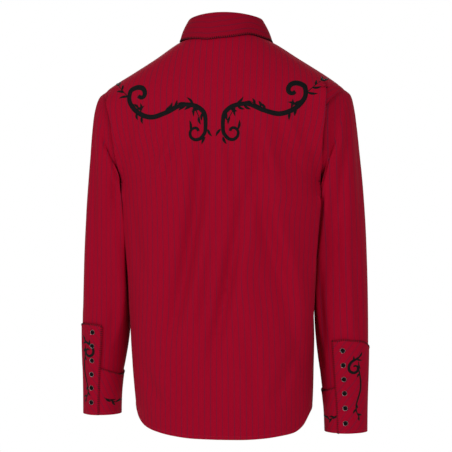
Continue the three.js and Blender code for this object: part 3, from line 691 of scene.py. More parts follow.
backLeft = lambda side: panelEdge(side, "back")
back = bodyPanel(
    "shirtBack", 76, backLeft, lambda side: 180 - backLeft(side), seamPulls, 90, backSteps, backShape
)
frontEdge = lambda side: panelEdge(side, "back" if side > shoulderZ else "front")
frontLeft = bodyPanel(
    "shirtFrontLeft", 34, frontEdge, lambda side: -90, lambda side: (seamPulls(side)[0], -6), -90
)
frontRight = bodyPanel(
    "shirtFrontRight",
    34,
    lambda side: -180 - frontEdge(side),
    lambda side: -90,
    lambda side: (seamPulls(side)[0], 0.3),
    -90,
)
for panel in (back, frontLeft, frontRight):
    panel["high"] = thickness(panel)
    grid, normals, uv = panel["grid"], panel["normals"], panel["uv"]
    low, high, shade = -0.4, panel["high"], panel["shade"]
    panel["object"] = shell(panel["name"], grid, normals, low, high, uv, cotton, shade=shade)
print("body panels made")

# Placket.
placketBand = {
    "half": 17.5,
    "edge": np.array([0, 1.2, 2.6, 5.5, 6.6]),
    "aboveHem": 13,
    "low": 1.1,
    "high": 2.2,
    "raised": 0.35,
}
edgeIn = placketBand["edge"] - placketBand["half"]
bandX = np.concatenate([edgeIn, np.linspace(-9, 9, 7), -edgeIn[::-1]])
upper, fromHem = bodyRows()
bandAngles = []
for side in np.concatenate([upper, hemLow + fromHem + placketBand["aboveHem"]]):
    power = read(bodyRings, "power", side)
    half = read(bodyRings, "half", side)
    bandAngles.append(-np.degrees(np.arccos(np.sign(bandX) * (np.abs(bandX) / half) ** (power / 2))))
bandHeights = rowHeights(bandAngles, upper, fromHem)
bandGrid = np.array([bodyPoint(a, h, True) for a, h in zip(bandAngles, bandHeights)])
bandNormals = gridNormals(bandGrid)
bandRaise = placketBand["raised"] * (1 - ease(placketBand["half"] - np.abs(bandX), 6.0, 7.2))
across, down, high = np.broadcast_arrays(bandX, -bandGrid[:, 7:8, 2], placketBand["high"] + bandRaise)
bandUv = np.stack([across, down], axis=-1)
placket = shell("shirtPlacket", bandGrid, bandNormals, placketBand["low"], high, bandUv, cotton)

# Collar.
collarRings = table(
    "half back front zBack zSide zFront",
    [
        (74.6, 61.6, 55.8, 11.4, 1.5, -72.2),
        (69, 57, 53, 38.7, 30.7, -46.3),
        (69, 57, 53, 39.6, 31.7, -45.1),
        (69.6, 57.6, 53.6, 43.2, 35.4, -41.6),
        (72, 60, 56, 45, 37.4, -39.8),
        (74.4, 62.6, 58.6, 43, 35, -42),
    ],
)
leafEdgeRows = table(
    "turn angle side lift",
    [
        (0, 90, -18, 2.6),
        (8, 82, -17, 2.6),
        (30, 60, -15, 2.6),
        (60, 30, -11, 2.6),
        (85, 3, -8.5, 2.6),
        (105, -27, -15, 3),
        (125, -46, -32, 2.8),
        (145, -61, -56, 2.6),
        (158, -68, -72, 2.4),
        (172, -74, -86, 2.2),
    ],
)
# Ripples of the fall's edge: place round it, width and height.
collarRipples = [(-42, 27, 8.5), (14, 9, -2.0), (45, 20, 1.5)]
collarHalf = 0.75  # half the thickness of its doubled cloth


def collarPoint(ring, turn):  # turn from the middle of the back, + to the wearer's left
    k = {name: values[ring] for name, values in collarRings.items()}
    a = np.radians(90 - turn)
    s = np.sin(a)
    z = k["zSide"] + np.where(s >= 0, k["zBack"] - k["zSide"], k["zFront"] - k["zSide"]) * s * s
    return np.stack([k["half"] * np.cos(a) - 2, np.where(s >= 0, k["back"], k["front"]) * s, z], axis=-1)


def throughRings(rings, t):  # smooth curve through rings of points, at places t by row and column
    last = len(rings) - 1
    k = np.clip(np.floor(t).astype(int), 0, last - 1)
    u = (t - k)[..., None]
    cols = np.broadcast_to(np.arange(rings.shape[1]), t.shape)
    b, c = rings[k, cols], rings[k + 1, cols]
    a = np.where((k == 0)[..., None], 2 * b - c, rings[np.maximum(k - 1, 0), cols])
    d = rings[np.minimum(k + 2, last), cols]
    return b + 0.5 * u * (c - a + u * (2 * a - 5 * b + 4 * c - d + u * (3 * (b - c) + d - a)))


standTurns = np.linspace(-179, 179, 150)
standGrid = np.array(
    [collarPoint(0, standTurns) * (1 - t) + collarPoint(1, standTurns) * t for t in np.linspace(0, 1, 9)]
)
standUv = np.stack([runLength(standGrid), runLength(standGrid, 1)], axis=-1)
standNormals = gridNormals(standGrid, core=(0, 0, 0, 5))
stand = shell("collarStand", standGrid, standNormals, -collarHalf, collarHalf, standUv, cotton)

leafTurns = np.linspace(-172, 172, 190)
away = np.abs(leafTurns)
edgeAngle = read(leafEdgeRows, "angle", away)
edgeSide = read(leafEdgeRows, "side", away) + 0.9 * np.exp(-((leafTurns / 5) ** 2))
edgeAngle = np.where(leafTurns < 0, 180 - edgeAngle, edgeAngle)
edgeSide += sum(up * bell(leafTurns, at, wide) for at, wide, up in collarRipples)
lift = read(leafEdgeRows, "lift", away)[:, None]
leafFoot = bodyPoint(edgeAngle, edgeSide) + bodyNormal(edgeAngle, edgeSide) * lift
keyRings = [collarPoint(ring, leafTurns) for ring in (2, 3, 4, 5)]
outward = unit(keyRings[3] * np.array([1, 1, 0]))
for t in (0.12, 0.32, 0.55, 0.78, 1):
    keyRings.append(keyRings[3] * (1 - t) + leafFoot * t + outward * 2.2 * math.sin(math.pi * t))
places = np.concatenate([np.linspace(0, 3, 16)[:-1], np.linspace(3, 7.6, 24)[:-1], np.linspace(7.6, 8, 7)])
leafGrid = throughRings(np.array(keyRings), np.broadcast_to(places[:, None], (len(places), len(leafTurns))))
leafNormals = gridNormals(leafGrid)
leafCore = leafGrid - np.stack(
    [leafGrid[..., 0] * 0.9, leafGrid[..., 1] * 0.9, leafGrid[..., 2] - 3], axis=-1
)
if np.sum(leafNormals[25:] * leafCore[25:]) < 0:
    leafNormals = -leafNormals
down = runLength(leafGrid)
leafUv = np.stack([down[-1:] - down, runLength(leafGrid, 1)], axis=-1)
# painted shade: the whole collar fall is darkened evenly through the shade attribute
leaf = shell("collarLeaf", leafGrid, leafNormals, -collarHalf, collarHalf, leafUv, cotton, shade=0.3)
print("collar made")

# Sleeves.
ringColumns = "outX outZ inX inZ mid deep"
sleeveRings = {
    "left": table(
        ringColumns,
        [
            (239, -104, 205, -290, 4, 66),
            (251, -115, 207, -300, 5, 69),
            (259, -140, 205.2, -313, 6, 71),
            (264, -176, 203, -328, 6, 72),
            (269, -226, 200.4, -348, 5, 71),
            (274, -286, 197.6, -378, 3, 70),
            (279, -350, 194.8, -414, 1, 67),
            (283, -415, 192.6, -454, -1, 64),
            (286, -480, 191.4, -500, -3, 60),
            (288.5, -545, 191.6, -552, -5, 56),
            (289.5, -600, 196.5, -602, -7, 52),
            (289, -645, 204, -645, -9, 48),
            (288, -670, 209, -670, -10, 45),
            (287.5, -710, 213.5, -710, -11, 43),
            (287.5, -752, 215, -752, -12, 42),
        ],
    ),
    "right": table(
        ringColumns,
        [
            (239, -104, 192, -290, 4, 66),
            (251, -116, 196, -300, 4, 69),
            (258, -142, 195, -313, 3, 71),
            (263, -179, 190.5, -330, 1, 72),
            (268, -230, 187, -352, -2, 71),
            (274, -290, 183.5, -382, -6, 69),
            (279, -355, 180.8, -418, -9, 66),
            (282, -420, 179.2, -458, -12, 62),
            (284, -490, 178.8, -507, -13, 58),
            (285, -560, 181, -567, -14, 54),
            (285, -622, 186, -623, -14, 50),
            (284, -668, 191, -668, -14, 47),
            (283, -697, 194.5, -697, -14, 45),
            (282, -737, 199, -737, -14, 43.5),
            (281.5, -781, 201, -781, -14, 42.5),
        ],
    ),
}
# Creases along each sleeve. Turns round it: 0 outside, 90 behind, 180 inside, 270 in front.
creaseColumns = "start end turnTop turnFoot depth wide"
sleeveCreases = {
    "left": table(
        creaseColumns,
        [
            (3, 9, 62, 76, 5, 15),
            (2, 6.5, 120, 104, 4, 13),
            (2.5, 8.5, 262, 276, 5, 15),
            (6, 9.2, 142, 128, 4, 13),
        ],
    ),
    "right": table(
        creaseColumns,
        [
            (2.5, 7, 70, 98, 5, 15),
            (5, 9.2, 108, 84, 5, 15),
            (7.5, 10.8, 164, 150, 4, 12),
            (2.5, 8.5, 266, 280, 5, 15),
        ],
    ),
}
smallCreases = {
    "left": table(
        creaseColumns,
        [
            (0.6, 3.6, 96, 132, 2.4, 11),
            (1.0, 4.2, 40, 60, 1.8, 10),
            (4.5, 7.4, 96, 86, 1.8, 9),
            (7.2, 10.2, 92, 112, 2.2, 10),
            (3, 6, 20, 34, 1.5, 10),
            (6, 9, 30, 18, 1.6, 10),
            (0.8, 3.8, 250, 220, 2.2, 11),
            (4, 7, 300, 318, 1.8, 11),
        ],
    ),
    "right": table(
        creaseColumns,
        [
            (0.5, 3.2, 92, 136, 3.0, 11),
            (1.0, 4.4, 44, 66, 2.0, 10),
            (3.6, 6.6, 120, 138, 2.4, 10),
            (6.4, 9.6, 60, 44, 2.0, 10),
            (7, 10, 118, 130, 2.2, 9),
            (3, 6, 16, 30, 1.5, 10),
            (0.8, 3.8, 250, 222, 2.2, 11),
            (4, 7, 302, 320, 1.8, 11),
        ],
    ),
}


def armholeLine(side):  # closed line from the shoulder point down behind and up in front
    part = 0.5 - 0.5 * np.cos(np.linspace(0, np.pi, 90))
    heights = shoulderZ + (underarmZ - shoulderZ) * part
    behind = angleAtDepth(read(armhole, "back", heights), heights)
    ahead = angleAtDepth(read(armhole, "front", heights), heights)[::-1]
    angles, sides = np.concatenate([behind, ahead]), np.concatenate([heights, heights[::-1]])
    points = bodyPoint(angles if side > 0 else 180 - angles, sides)
    return points * np.array([side, 1, 1])


def sleeveTurns(word, side, turns):  # every ring's points at these turns, as the wearer's left
    rings = sleeveRings[word]
    outer = np.stack([rings["outX"], rings["mid"], rings["outZ"]], axis=-1)
    inner = np.stack([rings["inX"], rings["mid"], rings["inZ"]], axis=-1)
    middle, alongRing = (outer + inner) / 2, unit(outer - inner)
    half = np.linalg.norm(outer - inner, axis=-1) / 2
    c, s = np.cos(np.radians(turns)), np.sin(np.radians(turns))
    points = middle[:, None] + alongRing[:, None] * (half[:, None] * c)[..., None]
    points[..., 1] += rings["deep"][:, None] * s
    line = armholeLine(side)
    d = line - middle[0]
    angle = np.degrees(np.arctan2(d[:, 1] / rings["deep"][0], d @ alongRing[0] / half[0])) % 360
    order = np.argsort(angle)
    for axis in range(3):
        points[0, :, axis] = np.interp(np.mod(turns, 360), angle[order], line[order, axis], period=360)
    return points


def creaseDepth(creases, t, turn):
    total = np.zeros(np.broadcast(t, turn).shape)
    for start, end, turnTop, turnFoot, depth, wide in zip(*creases.values()):
        part = (t - start) / (end - start)
        inside = (part > 0) & (part < 1)
        part = np.clip(part, 0, 1)
        line = turnTop + (turnFoot - turnTop) * part
        off = np.abs((turn - line + 540) % 360 - 180) / wide
        fade = np.sin(np.pi * part) ** 0.7
        total += inside * depth * fade * (0.35 * np.exp(-((off - 1.9) ** 2)) - np.exp(-off * off))
    return total


def capStart(first, following, word, side):  # where the sleeve leaves the armhole
    rings = sleeveRings[word]
    angle = angleAtDepth(first[:, 1], first[:, 2])
    normal = bodyNormal(angle if side > 0 else 180 - angle, first[:, 2]) * np.array([side, 1, 1])
    middle = np.array(
        [
            (rings["outX"][0] + rings["inX"][0]) / 2,
            rings["mid"][0],
            (rings["outZ"][0] + rings["inZ"][0]) / 2,
        ]
    )
    into = middle - first
    into = unit(into - normal * np.sum(into * normal, axis=-1, keepdims=True))
    way = unit(following - first)
    turned = np.degrees(np.arctan2(np.sum(way * normal, axis=-1), np.sum(way * into, axis=-1)))
    behind = ease(turned, 65, 100)
    ahead = np.maximum(0, 0.75 * np.sin(np.radians(turned)) - 0.4)
    off = 0.4 + 0.5 + 0.4 * np.maximum(0, -np.cos(np.radians(turned)))
    return first + into * (ahead * (1 - behind))[:, None] + normal * (off * behind)[:, None]


stripeScale = {"left": 1.2, "right": 0.88}
armX = 245  # about where the middle of each arm lies
# How far the sleeve's edge runs in under the back's fold, by height.
tuckedUnder = {
    "left": table("side by", [(-104, 0), (-130, 0), (-200, 2), (-250, 3), (-290, 0)]),
    "right": table(
        "side by",
        [(-104, 0), (-110, 3), (-125, 9), (-147, 15.5), (-175, 11), (-206, 9), (-250, 5), (-290, 0)],
    ),
}


# The inner side behind is squarer and fuller than a plain ring, to meet the body's fold.
innerBack = {
    "left": {"square": 0.4, "corner": 10.5, "fillAt": 128, "inward": 1.0},
    "right": {"square": 0.62, "corner": 0.5, "fillAt": 124, "inward": 5.0},
}


def underFold(word, side, grid, t, turns):  # moves the top of the sleeve in over the body's cloth
    first = grid[0]
    for k in np.flatnonzero((turns > 20) & (turns < 172)):
        x, y, z = first[k]
        by = float(read(tuckedUnder[word], "by", np.clip(z, underarmZ, shoulderZ)))
        if by < 0.05 or y < 0:
            continue
        fine = np.linspace(float(angleAtDepth(y, z)), 90, 160)
        places = bodyPoint(fine if side > 0 else 180 - fine, np.full(160, z)) * np.array([side, 1, 1])
        target = sample(x - by, places[::-1, 0], places[::-1])
        target[1] += 1.6
        part = np.clip(1 - t[:, k] / 0.6, 0, 1)[:, None] ** 1.4
        grid[:, k] += (target - first[k]) * part
    fuller = innerBack[word]
    c, s = np.abs(np.cos(np.radians(turns))), np.abs(np.sin(np.radians(turns)))
    inside = ((turns > 90) & (turns < 180)) * ease(t, 0.6, 2) * (1 - ease(t, 8, 10.5))
    outer, behind, inner, ahead = (grid[:, k : k + 1] for k in (0, 30, 60, 90))
    half, deep = np.abs(outer - inner)[..., 0] / 2, (behind - ahead)[..., 1] / 2
    reach = half * (c ** fuller["square"] - c) * (1 - 0.4 * ease(turns, 142, 160))
    reach = reach + fuller["corner"] * bell(turns, 126, 19)
    back = inside * deep * (s ** fuller["square"] - s) * 0.9
    fill = ease(t, 0, 0.15) * (1 - 0.6 * ease(t, 1.2, 4.2)) * (1 - ease(t, 5, 9))
    grid[..., 0] -= inside * reach
    grid[..., 1] += back + 9.0 * bell(turns, fuller["fillAt"], 24) * fill
    grid[..., 0] -= fuller["inward"] * bell(turns, 180, 42) * bell(t, 1.9, 1.5)
    return grid


def sleeveUv(word, rings, grid, turns, steps):  # stripes follow the sleeve's length, also over its head
    level = np.array([1, 1, 0])
    ring = np.concatenate([grid, grid[:, :1]], axis=1)
    flat = ring * level
    along = runLength(flat, 1)
    behind = int(np.argmin(np.abs(turns - 90)))
    u = along - along[:, behind : behind + 1]
    base = int(np.argmin(np.abs(steps - 1)))
    low, high = rings[1].min(axis=0), rings[1].max(axis=0)
    for i in range(base):
        d = (flat[i] - (low + high) / 2 * level) / ((high - low) / 2)
        angle = np.degrees(np.unwrap(np.arctan2(d[:, 1], d[:, 0])))
        angle += 360 * round((90 - angle[behind]) / 360)
        u[i] = np.interp(angle, np.append(turns, 360.0), u[base])
    return np.stack([u * stripeScale[word], -ring[..., 2]], axis=-1)


def makeSleeve(word, side):
    turns = np.arange(0, 360, 3.0)
    rings = sleeveTurns(word, side, turns)
    steps = np.concatenate([np.arange(0, 0.6, 0.1), np.arange(0.6, 12.01, 0.085)])
    t = np.broadcast_to(steps[:, None], (len(steps), len(turns)))
    grid = throughRings(rings, t)
    grid[0] = capStart(grid[0], grid[5], word, side)
    grid = underFold(word, side, grid, t, turns)
    uv = sleeveUv(word, rings, grid, turns, steps)
    by = 1.25 * creaseDepth(sleeveCreases[word], t, turns) + 1.6 * creaseDepth(smallCreases[word], t, turns)
    middle = (np.roll(grid, len(turns) // 2, axis=1) + grid) / 2
    grid = (grid + unit(grid - middle) * by[..., None]) * np.array([side, 1, 1])
    normals = gridNormals(grid, True, (0, side * armX, 4, 0))
    down = runLength(grid)
    high = 0.4 + 0.3 * (1 - ease(down, 6.0, 7.5))
    # painted shade: the sleeve's head is darkened where it runs in under the back's fold
    shade = np.minimum(1, 1.15 * bell(down, 1.5, 4.6)) * bell(turns, 110, 72)
    return shell(f"sleeve{word.capitalize()}", grid, normals, -0.4, high, uv, cotton, True, shade)


sleeves = {"left": makeSleeve("left", 1), "right": makeSleeve("right", -1)}
print("sleeves made")

# Cuffs.
cuffTop = table(
    "turn tall under",
    [
        (100, 181, 92),
        (80, 186, 92),
        (50, 186, 92),
        (0, 178, 92),
        (-45, 154, 90),
        (-90, 118, 88),
        (-130, 94, 86),
        (-160, 85, 85),
        (-220, 85, 85),
        (-270, 85, 96),
    ],
)
cuffs = {
    "left": {"side": 1, "lap": 93, "snapTurn": 71, "snapZ": [-583, -611, -641, -670, -698, -725], "tip": 0},
    "right": {
        "side": -1,
        "lap": 110,
        "snapTurn": 88,
        "snapZ": [-616, -644, -673, -702, -731, -758],
        "tip": 1,
    },
}
cuffJoin = -150.0  # turn at which the lap ends and the under piece begins
cuffLean = math.radians(-38)  # of the stripes
laid = 1.8  # from the middle of a sleeve's wall to the middle of a piece laid on it
cuffFace = 0.65  # from the middle of a cuff piece to its outer face


def placeAlong(word, z):  # place along the sleeve at a height of its outer edge
    outZ = sleeveRings[word]["outZ"]
    return np.interp(-np.asarray(z, float), -outZ, np.arange(len(outZ)))


def cuffPiece(word, turns, column, level):
    side = cuffs[word]["side"]
    rings = sleeveTurns(word, side, turns)
    tall = read(cuffTop, column, turns)
    if column == "tall":
        tall = tall + cuffs[word]["tip"] * (6 * ease(turns, 60, 108) - 9 * bell(turns, -5, 42))
    else:
        tall = tall - 5 * bell(turns, -195, 22)
    fromTop = np.concatenate(
        [[0, 0.008, 0.02, 0.04], np.linspace(0.07, 0.95, 30), [0.97, 0.985, 1]]
    )[:, None]
    z = sleeveRings[word]["outZ"][-1] + tall * (1 - fromTop)
    grid = throughRings(rings, placeAlong(word, z)) * np.array([side, 1, 1])
    normals = gridNormals(grid, False, (0, side * armX, -4, 0))
    c, s = math.cos(cuffLean), math.sin(cuffLean)
    down, along = runLength(grid), runLength(grid, 1)
    uv = np.stack([along * c - tall * fromTop * s, along * s + down * c], axis=-1)
    low = np.broadcast_to(level - 0.75, grid.shape[:2])
    name = f"cuff{word.capitalize()}" + {"tall": "Lap", "under": "Under"}[column]
    face = grid + normals * (level[:, None] + cuffFace)
    obj = shell(name, grid, normals, low, low + 1.4, uv, cotton)
    return {"grid": grid, "normals": normals, "level": level, "face": face, "object": obj}


for word, cuff in cuffs.items():
    lap = cuff["lap"]
    lapTurns = np.concatenate(
        [lap - np.array([0, 1.5, 3, 5, 7.5]), np.arange(lap - 10.5, cuffJoin - 2, -3.0)]
    )
    underTurns = np.arange(cuffJoin, lap - 385, -3.0)
    lapLevel = laid * (1 + ease(lapTurns, lap - 48, lap - 28)) + 0.1
    cuff["lapPart"] = cuffPiece(word, lapTurns, "tall", lapLevel)
    cuff["underPart"] = cuffPiece(word, underTurns, "under", np.full(len(underTurns), 1.9))
print("cuffs made")

# Raised satin embroidery.
class Bundle:  # gathers many small closed forms into one mesh
    def __init__(self):
        self.points, self.quads, self.ends, self.uv, self.endUv = [], [], [], [], []
        self.count = 0

    def tube(self, rings, uv):  # rings of points, closed round and at both ends
        rows, cols = rings.shape[:2]
        r, c = (k.ravel() for k in np.meshgrid(np.arange(rows - 1), np.arange(cols), indexing="ij"))
        corners = [(r, c), (r, (c + 1) % cols), (r + 1, (c + 1) % cols), (r + 1, c)]
        quads = np.stack([self.count + row * cols + col for row, col in corners], axis=1)
        coords = np.stack([uv[row, col] for row, col in corners], axis=1)
        start = [self.count + k for k in range(cols)][::-1]
        end = [self.count + (rows - 1) * cols + k for k in range(cols)]
        middle = rings.mean(axis=1)
        first = rings[0] - middle[0]
        if np.dot(np.cross(first[0], first[cols // 3]), middle[1] - middle[0]) < 0:
            quads, coords, start, end = quads[:, ::-1], coords[:, ::-1], start[::-1], end[::-1]
        self.points.append(rings.reshape(-1, 3))
        self.quads.append(quads)
        self.uv.append(coords.reshape(-1, 2))
        self.ends += [tuple(start), tuple(end)]
        self.endUv += [uv[0, :cols], uv[-1, :cols]]
        self.count += rows * cols

    def build(self, name, material, sharp=80):
        uv = np.concatenate(self.uv + self.endUv)
        return makeObject(
            name, np.concatenate(self.points), np.concatenate(self.quads), uv, self.ends, material, sharp
        )


def surfaceOf(outer):  # finds the outer face under a point seen from behind
    rows, cols = outer.shape[:2]
    r, c = (k.ravel() for k in np.meshgrid(np.arange(rows - 1), np.arange(cols - 1), indexing="ij"))
    quads = np.stack([r * cols + c, r * cols + c + 1, (r + 1) * cols + c + 1, (r + 1) * cols + c], axis=1)
    tree = BVHTree.FromPolygons([Vector(p) for p in outer.reshape(-1, 3)], quads.tolist())

    def find(x, z):
        point, normal, _, _ = tree.ray_cast(Vector((x, 400, z)), Vector((0, -1, 0)))
        if point is None:
            point, normal, _, _ = tree.find_nearest(Vector((x, 60, z)))
        return np.array(point), np.array(-normal if normal.y < 0 else normal)

    return find


def curve(points, spacing=1.4):  # smooth line through points, evenly spaced
    points = np.array(points, float)
    t = np.linspace(0, len(points) - 1, 24 * len(points))
    fine = throughRings(points[:, None, :], t[:, None])[:, 0]
    run = runLength(fine)
    goals = np.linspace(0, run[-1], max(5, int(run[-1] / spacing)))
    return sample(goals, run, fine)


# The padded band's section: places across it from edge to edge and how high it stands there.
paddingPlaces = [-1, -0.8, -0.4, 0, 0.4, 0.8, 1]
paddingHeights = [0.05, 0.5, 0.9, 1, 0.9, 0.5, 0.05]


def satin(bundle, find, centre, wide, tall=0.9):  # a padded band of stitches along a line on a face
    along = np.gradient(centre, axis=0)
    across = unit(np.stack([-along[:, 1], along[:, 0]], axis=1))
    rings, uv = [], []
    for middle, side, width, run in zip(centre, across, wide, runLength(centre)):
        ring, coords = [], []
        for place, height in zip(paddingPlaces, paddingHeights):
            point, normal = find(*(middle + side * place * width / 2))
            ring.append(point + normal * (height * tall * min(1, width / 3) + 0.05))
            coords.append((run + abs(place) * width * 0.3, place * width / 2))
        point, normal = find(*middle)
        rings.append(ring + [point - normal * 0.2])
        uv.append(coords + [(run, 0)])
    bundle.tube(np.array(rings), np.array(uv))


def leafOn(bundle, find, foot, way, long, wide):  # a pointed leaf, slightly bowed, in satin stitch
    part = np.linspace(0, 1, 9)[:, None]
    way = np.array([math.cos(way), math.sin(way)])
    bow = np.array([-way[1], way[0]]) * 0.08 * long
    centre = np.array(foot) + way * long * part + bow * np.sin(np.pi * part)
    width = wide * np.maximum(0.12, np.sin(np.pi * (0.06 + 0.9 * part[:, 0]) ** 0.8))
    satin(bundle, find, centre, width, 0.8)


def leavesAlong(bundle, find, path, rows, sense, wide, fromLine=0.0):
    length = runLength(path) / runLength(path)[-1]
    for part, side, off, long in rows:
        i = int(np.clip(np.searchsorted(length, part), 1, len(path) - 2))
        step = unit(path[i + 1] - path[i - 1])
        way = math.atan2(step[1], step[0]) + sense * side * math.radians(off)
        foot = path[i] + sense * side * np.array([-step[1], step[0]]) * fromLine
        leafOn(bundle, find, foot, way, long, wide)


def polar(angle, radius=1.0):
    return radius * np.array([math.cos(math.radians(angle)), math.sin(math.radians(angle))])


def spiral(centre, turns):  # points round a centre by angle and radius
    return [centre + polar(*turn) for turn in turns]


# One scroll on the back: an outer curl, a long wave and an inner curl.
scroll = {
    "outer": spiral(
        (156.5, -116.5),
        [(275, 4.4), (238, 9.2), (205, 12.4), (170, 12.8), (130, 12.8), (90, 13), (50, 15), (15, 19)],
    ),
    "wave": [
        (175, -132), (157, -153.5), (129, -163.6), (98, -155), (69, -141.5), (47, -141.8),
        (31.5, -149), (22, -162.5),
    ],
    "inner": spiral(
        (38.5, -192.5),
        [
            (172, 17.5), (212, 15.4), (248, 16), (280, 16.4), (312, 15), (346, 12.4), (382, 9.6),
            (425, 7), (475, 5.2), (535, 3.6),
        ],
    ),
    "width": table(
        "part wide",
        [
            (0, 7.5), (0.05, 9), (0.12, 10.5), (0.2, 9), (0.3, 9.6), (0.42, 9.6), (0.56, 8.2),
            (0.66, 9.2), (0.76, 7.8), (0.86, 6.6), (0.95, 5.4), (1, 5.6),
        ],
    ),
}
# Leaves along the scroll: place on it, side of it, angle off its line and length.
scrollLeaves = [
    (0.285, -1, 62, 17), (0.3, 1, 40, 13), (0.335, 1, 58, 14), (0.47, -1, 30, 15), (0.53, -1, 44, 13),
    (0.585, 1, 150, 15), (0.62, 1, 144, 14), (0.665, 1, 128, 13), (0.70, 1, 36, 14),
]
# Single leaves by the inner curl: foot, angle and length.
looseLeaves = [
    ((49.5, -190), 82, 19),
    ((16.5, -189), -122, 16),
    ((21.5, -204), -64, 15),
    ((46, -140), 47, 19),
    ((42.3, -144), -85, 20),
]
# Fine sprays off it: their lines and the leaves on them.
sprays = [
    (
        [(176, -124), (187, -114), (197, -104), (206, -95)],
        [(0.08, -1, 48, 20), (0.42, -1, 34, 17), (0.58, 1, 40, 11), (0.93, -1, 10, 15), (0.97, 1, 46, 10)],
    ),
    ([(149, -154), (154, -146), (161, -139)], [(0.1, 1, 22, 16), (0.55, -1, 12, 14)]),
    ([(109, -158), (89, -146), (70, -136), (52, -139)], [(0.3, -1, 40, 12), (0.62, 1, 24, 12)]),
    ([(41, -149), (38.5, -155), (32.8, -166)], [(0.96, 1, 14, 15)]),
]
mirrored = {"middle": 4.0, "rise": 5.0}  # the right half is shifted a little and stands higher outside


def onRight(point):
    x, z = point
    return np.array([2 * mirrored["middle"] - x, z + mirrored["rise"] * ease(x, 40, 150)])


def embroider(name, find, put, sense):
    bundle = Bundle()
    line = curve([put(p) for p in scroll["outer"] + scroll["wave"] + scroll["inner"]])
    run = runLength(line) / runLength(line)[-1]
    satin(bundle, find, line, read(scroll["width"], "wide", run), 1.1)
    leavesAlong(bundle, find, line, scrollLeaves, sense, 5.2, 3.42)
    for foot, angle, long in looseLeaves:
        way = put(foot + polar(angle)) - put(foot)
        leafOn(bundle, find, put(foot), math.atan2(way[1], way[0]), long, 5.2)
    for points, leaves in sprays:
        path = curve([put(p) for p in points])
        satin(bundle, find, path, np.linspace(1.9, 1.3, len(path)), 0.8)
        leavesAlong(bundle, find, path, leaves, sense, 5.0, 0.54)
    return bundle.build(name, thread)


onBack = surfaceOf(back["grid"] + back["normals"] * back["high"][..., None])
embroideryLeft = embroider("embroideryBackLeft", onBack, np.array, 1)
embroideryRight = embroider("embroideryBackRight", onBack, onRight, -1)
print("back embroidery made")

# The lap of each cuff has a small curl and a stem with leaves, and the under piece a sprig.
cuffScroll = {
    "curl": spiral(
        (269, -624),
        [
            (130, 3.0), (70, 4.6), (10, 6.4), (-50, 8.4), (-100, 9.8), (-150, 10.8), (160, 11.4),
            (112, 13.5), (80, 17), (66, 23),
        ],
    ),
    "stem": [
        (276.5, -612), (277.5, -628), (280, -645), (280.5, -664), (276.5, -682), (272, -698),
        (273, -711), (278, -722),
    ],
    "curlLeaves": [(0.97, 1, 26, 12), (0.9, -1, 46, 11), (0.8, 1, 60, 9)],
    "stemLeaves": [
        (0.04, 1, 20, 10), (0.2, -1, 40, 9), (0.75, 1, 34, 9), (0.84, -1, 40, 10),
        (0.92, 1, 46, 10), (0.98, -1, 20, 9),
    ],
    "sprig": [(239, -717), (229, -722), (219, -727), (213, -724)],
    "sprigLeaves": [
        (0.1, 1, 12, 12), (0.35, -1, 26, 11), (0.55, 1, 30, 11), (0.8, -1, 34, 9), (0.97, 1, 20, 9)
    ],
}
# Which piece each line is on, its leaves and how wide it is.
cuffLines = [
    ("lapPart", "curl", "curlLeaves", 5.6),
    ("lapPart", "stem", "stemLeaves", 3.0),
    ("underPart", "sprig", "sprigLeaves", 2.0),
]


def embroiderCuff(word, aside, below):
    side = cuffs[word]["side"]
    bundle = Bundle()
    for part, line, leaves, wide in cuffLines:
        find = surfaceOf(cuffs[word][part]["face"])
        path = curve([(side * (x + aside), z + below) for x, z in cuffScroll[line]], 1.1)
        taper = np.sin(np.linspace(0.25, np.pi - 0.35, len(path))) ** 0.5
        satin(bundle, find, path, wide * np.maximum(0.35, taper), 0.8)
        leavesAlong(bundle, find, path, cuffScroll[leaves], side, 3.8)
    return bundle.build(f"embroideryCuff{word.capitalize()}", thread)


cuffEmbroidery = {"left": embroiderCuff("left", 0, 0), "right": embroiderCuff("right", -9, -28)}
print("cuff embroidery made")


# Sewing.
# Pitch along the row, length and thickness of a stitch.
sewing = {
    "tonal": {"pitch": 3.4, "long": 2.5, "thick": 0.42},
    "whip": {"pitch": 4.3, "long": 4.8, "thick": 2.0},
    "shortWhip": {"pitch": 3.6, "long": 3.6, "thick": 1.6},
}
stitchRings = ((-0.5, 0.3), (-0.32, 0.9), (0.32, 0.9), (0.5, 0.3))  # place along a stitch and size there


def oneStitch(bundle, centre, way, normal, kind):
    side = np.cross(normal, way)
    rings, uv = [], []
    for place, size in stitchRings:
        middle = centre + way * kind["long"] * place - normal * kind["thick"] * 0.7 * abs(place * 2) ** 3
        corners = [polar(60 * k, size * kind["thick"] / 2) for k in range(6)]
        rings.append([middle + side * a + normal * b for a, b in corners])
        uv.append([(place * kind["long"], k * 0.1) for k in range(6)])
    bundle.tube(np.array(rings), np.array(uv))


def stitchesAlong(bundle, points, normals):  # a row of plain stitches along a line
    kind, run = sewing["tonal"], runLength(points)
    at = np.arange(kind["pitch"] / 2, run[-1], kind["pitch"])
    ways = unit(sample(at + 0.5, run, points) - sample(at - 0.5, run, points))
    for c, n, w in zip(sample(at, run, points), unit(sample(at, run, normals)), ways):
        oneStitch(bundle, c + n * 0.1, w, n, kind)


def whipAlong(bundle, edge, inner, normals, kind):  # short leaning stitches over an edge
    run = runLength(edge)
    at = np.arange(kind["pitch"] / 2, run[-1], kind["pitch"])
    e, i, n = sample(at, run, edge), sample(at, run, inner), unit(sample(at, run, normals))
    ways = unit(unit(i - e) + 0.35 * unit(sample(at + 0.5, run, edge) - e))
    for c, n, w in zip(e, n, ways):
        oneStitch(bundle, c + w * (kind["long"] / 2 - 0.8) + n * 0.25, w, n, kind)


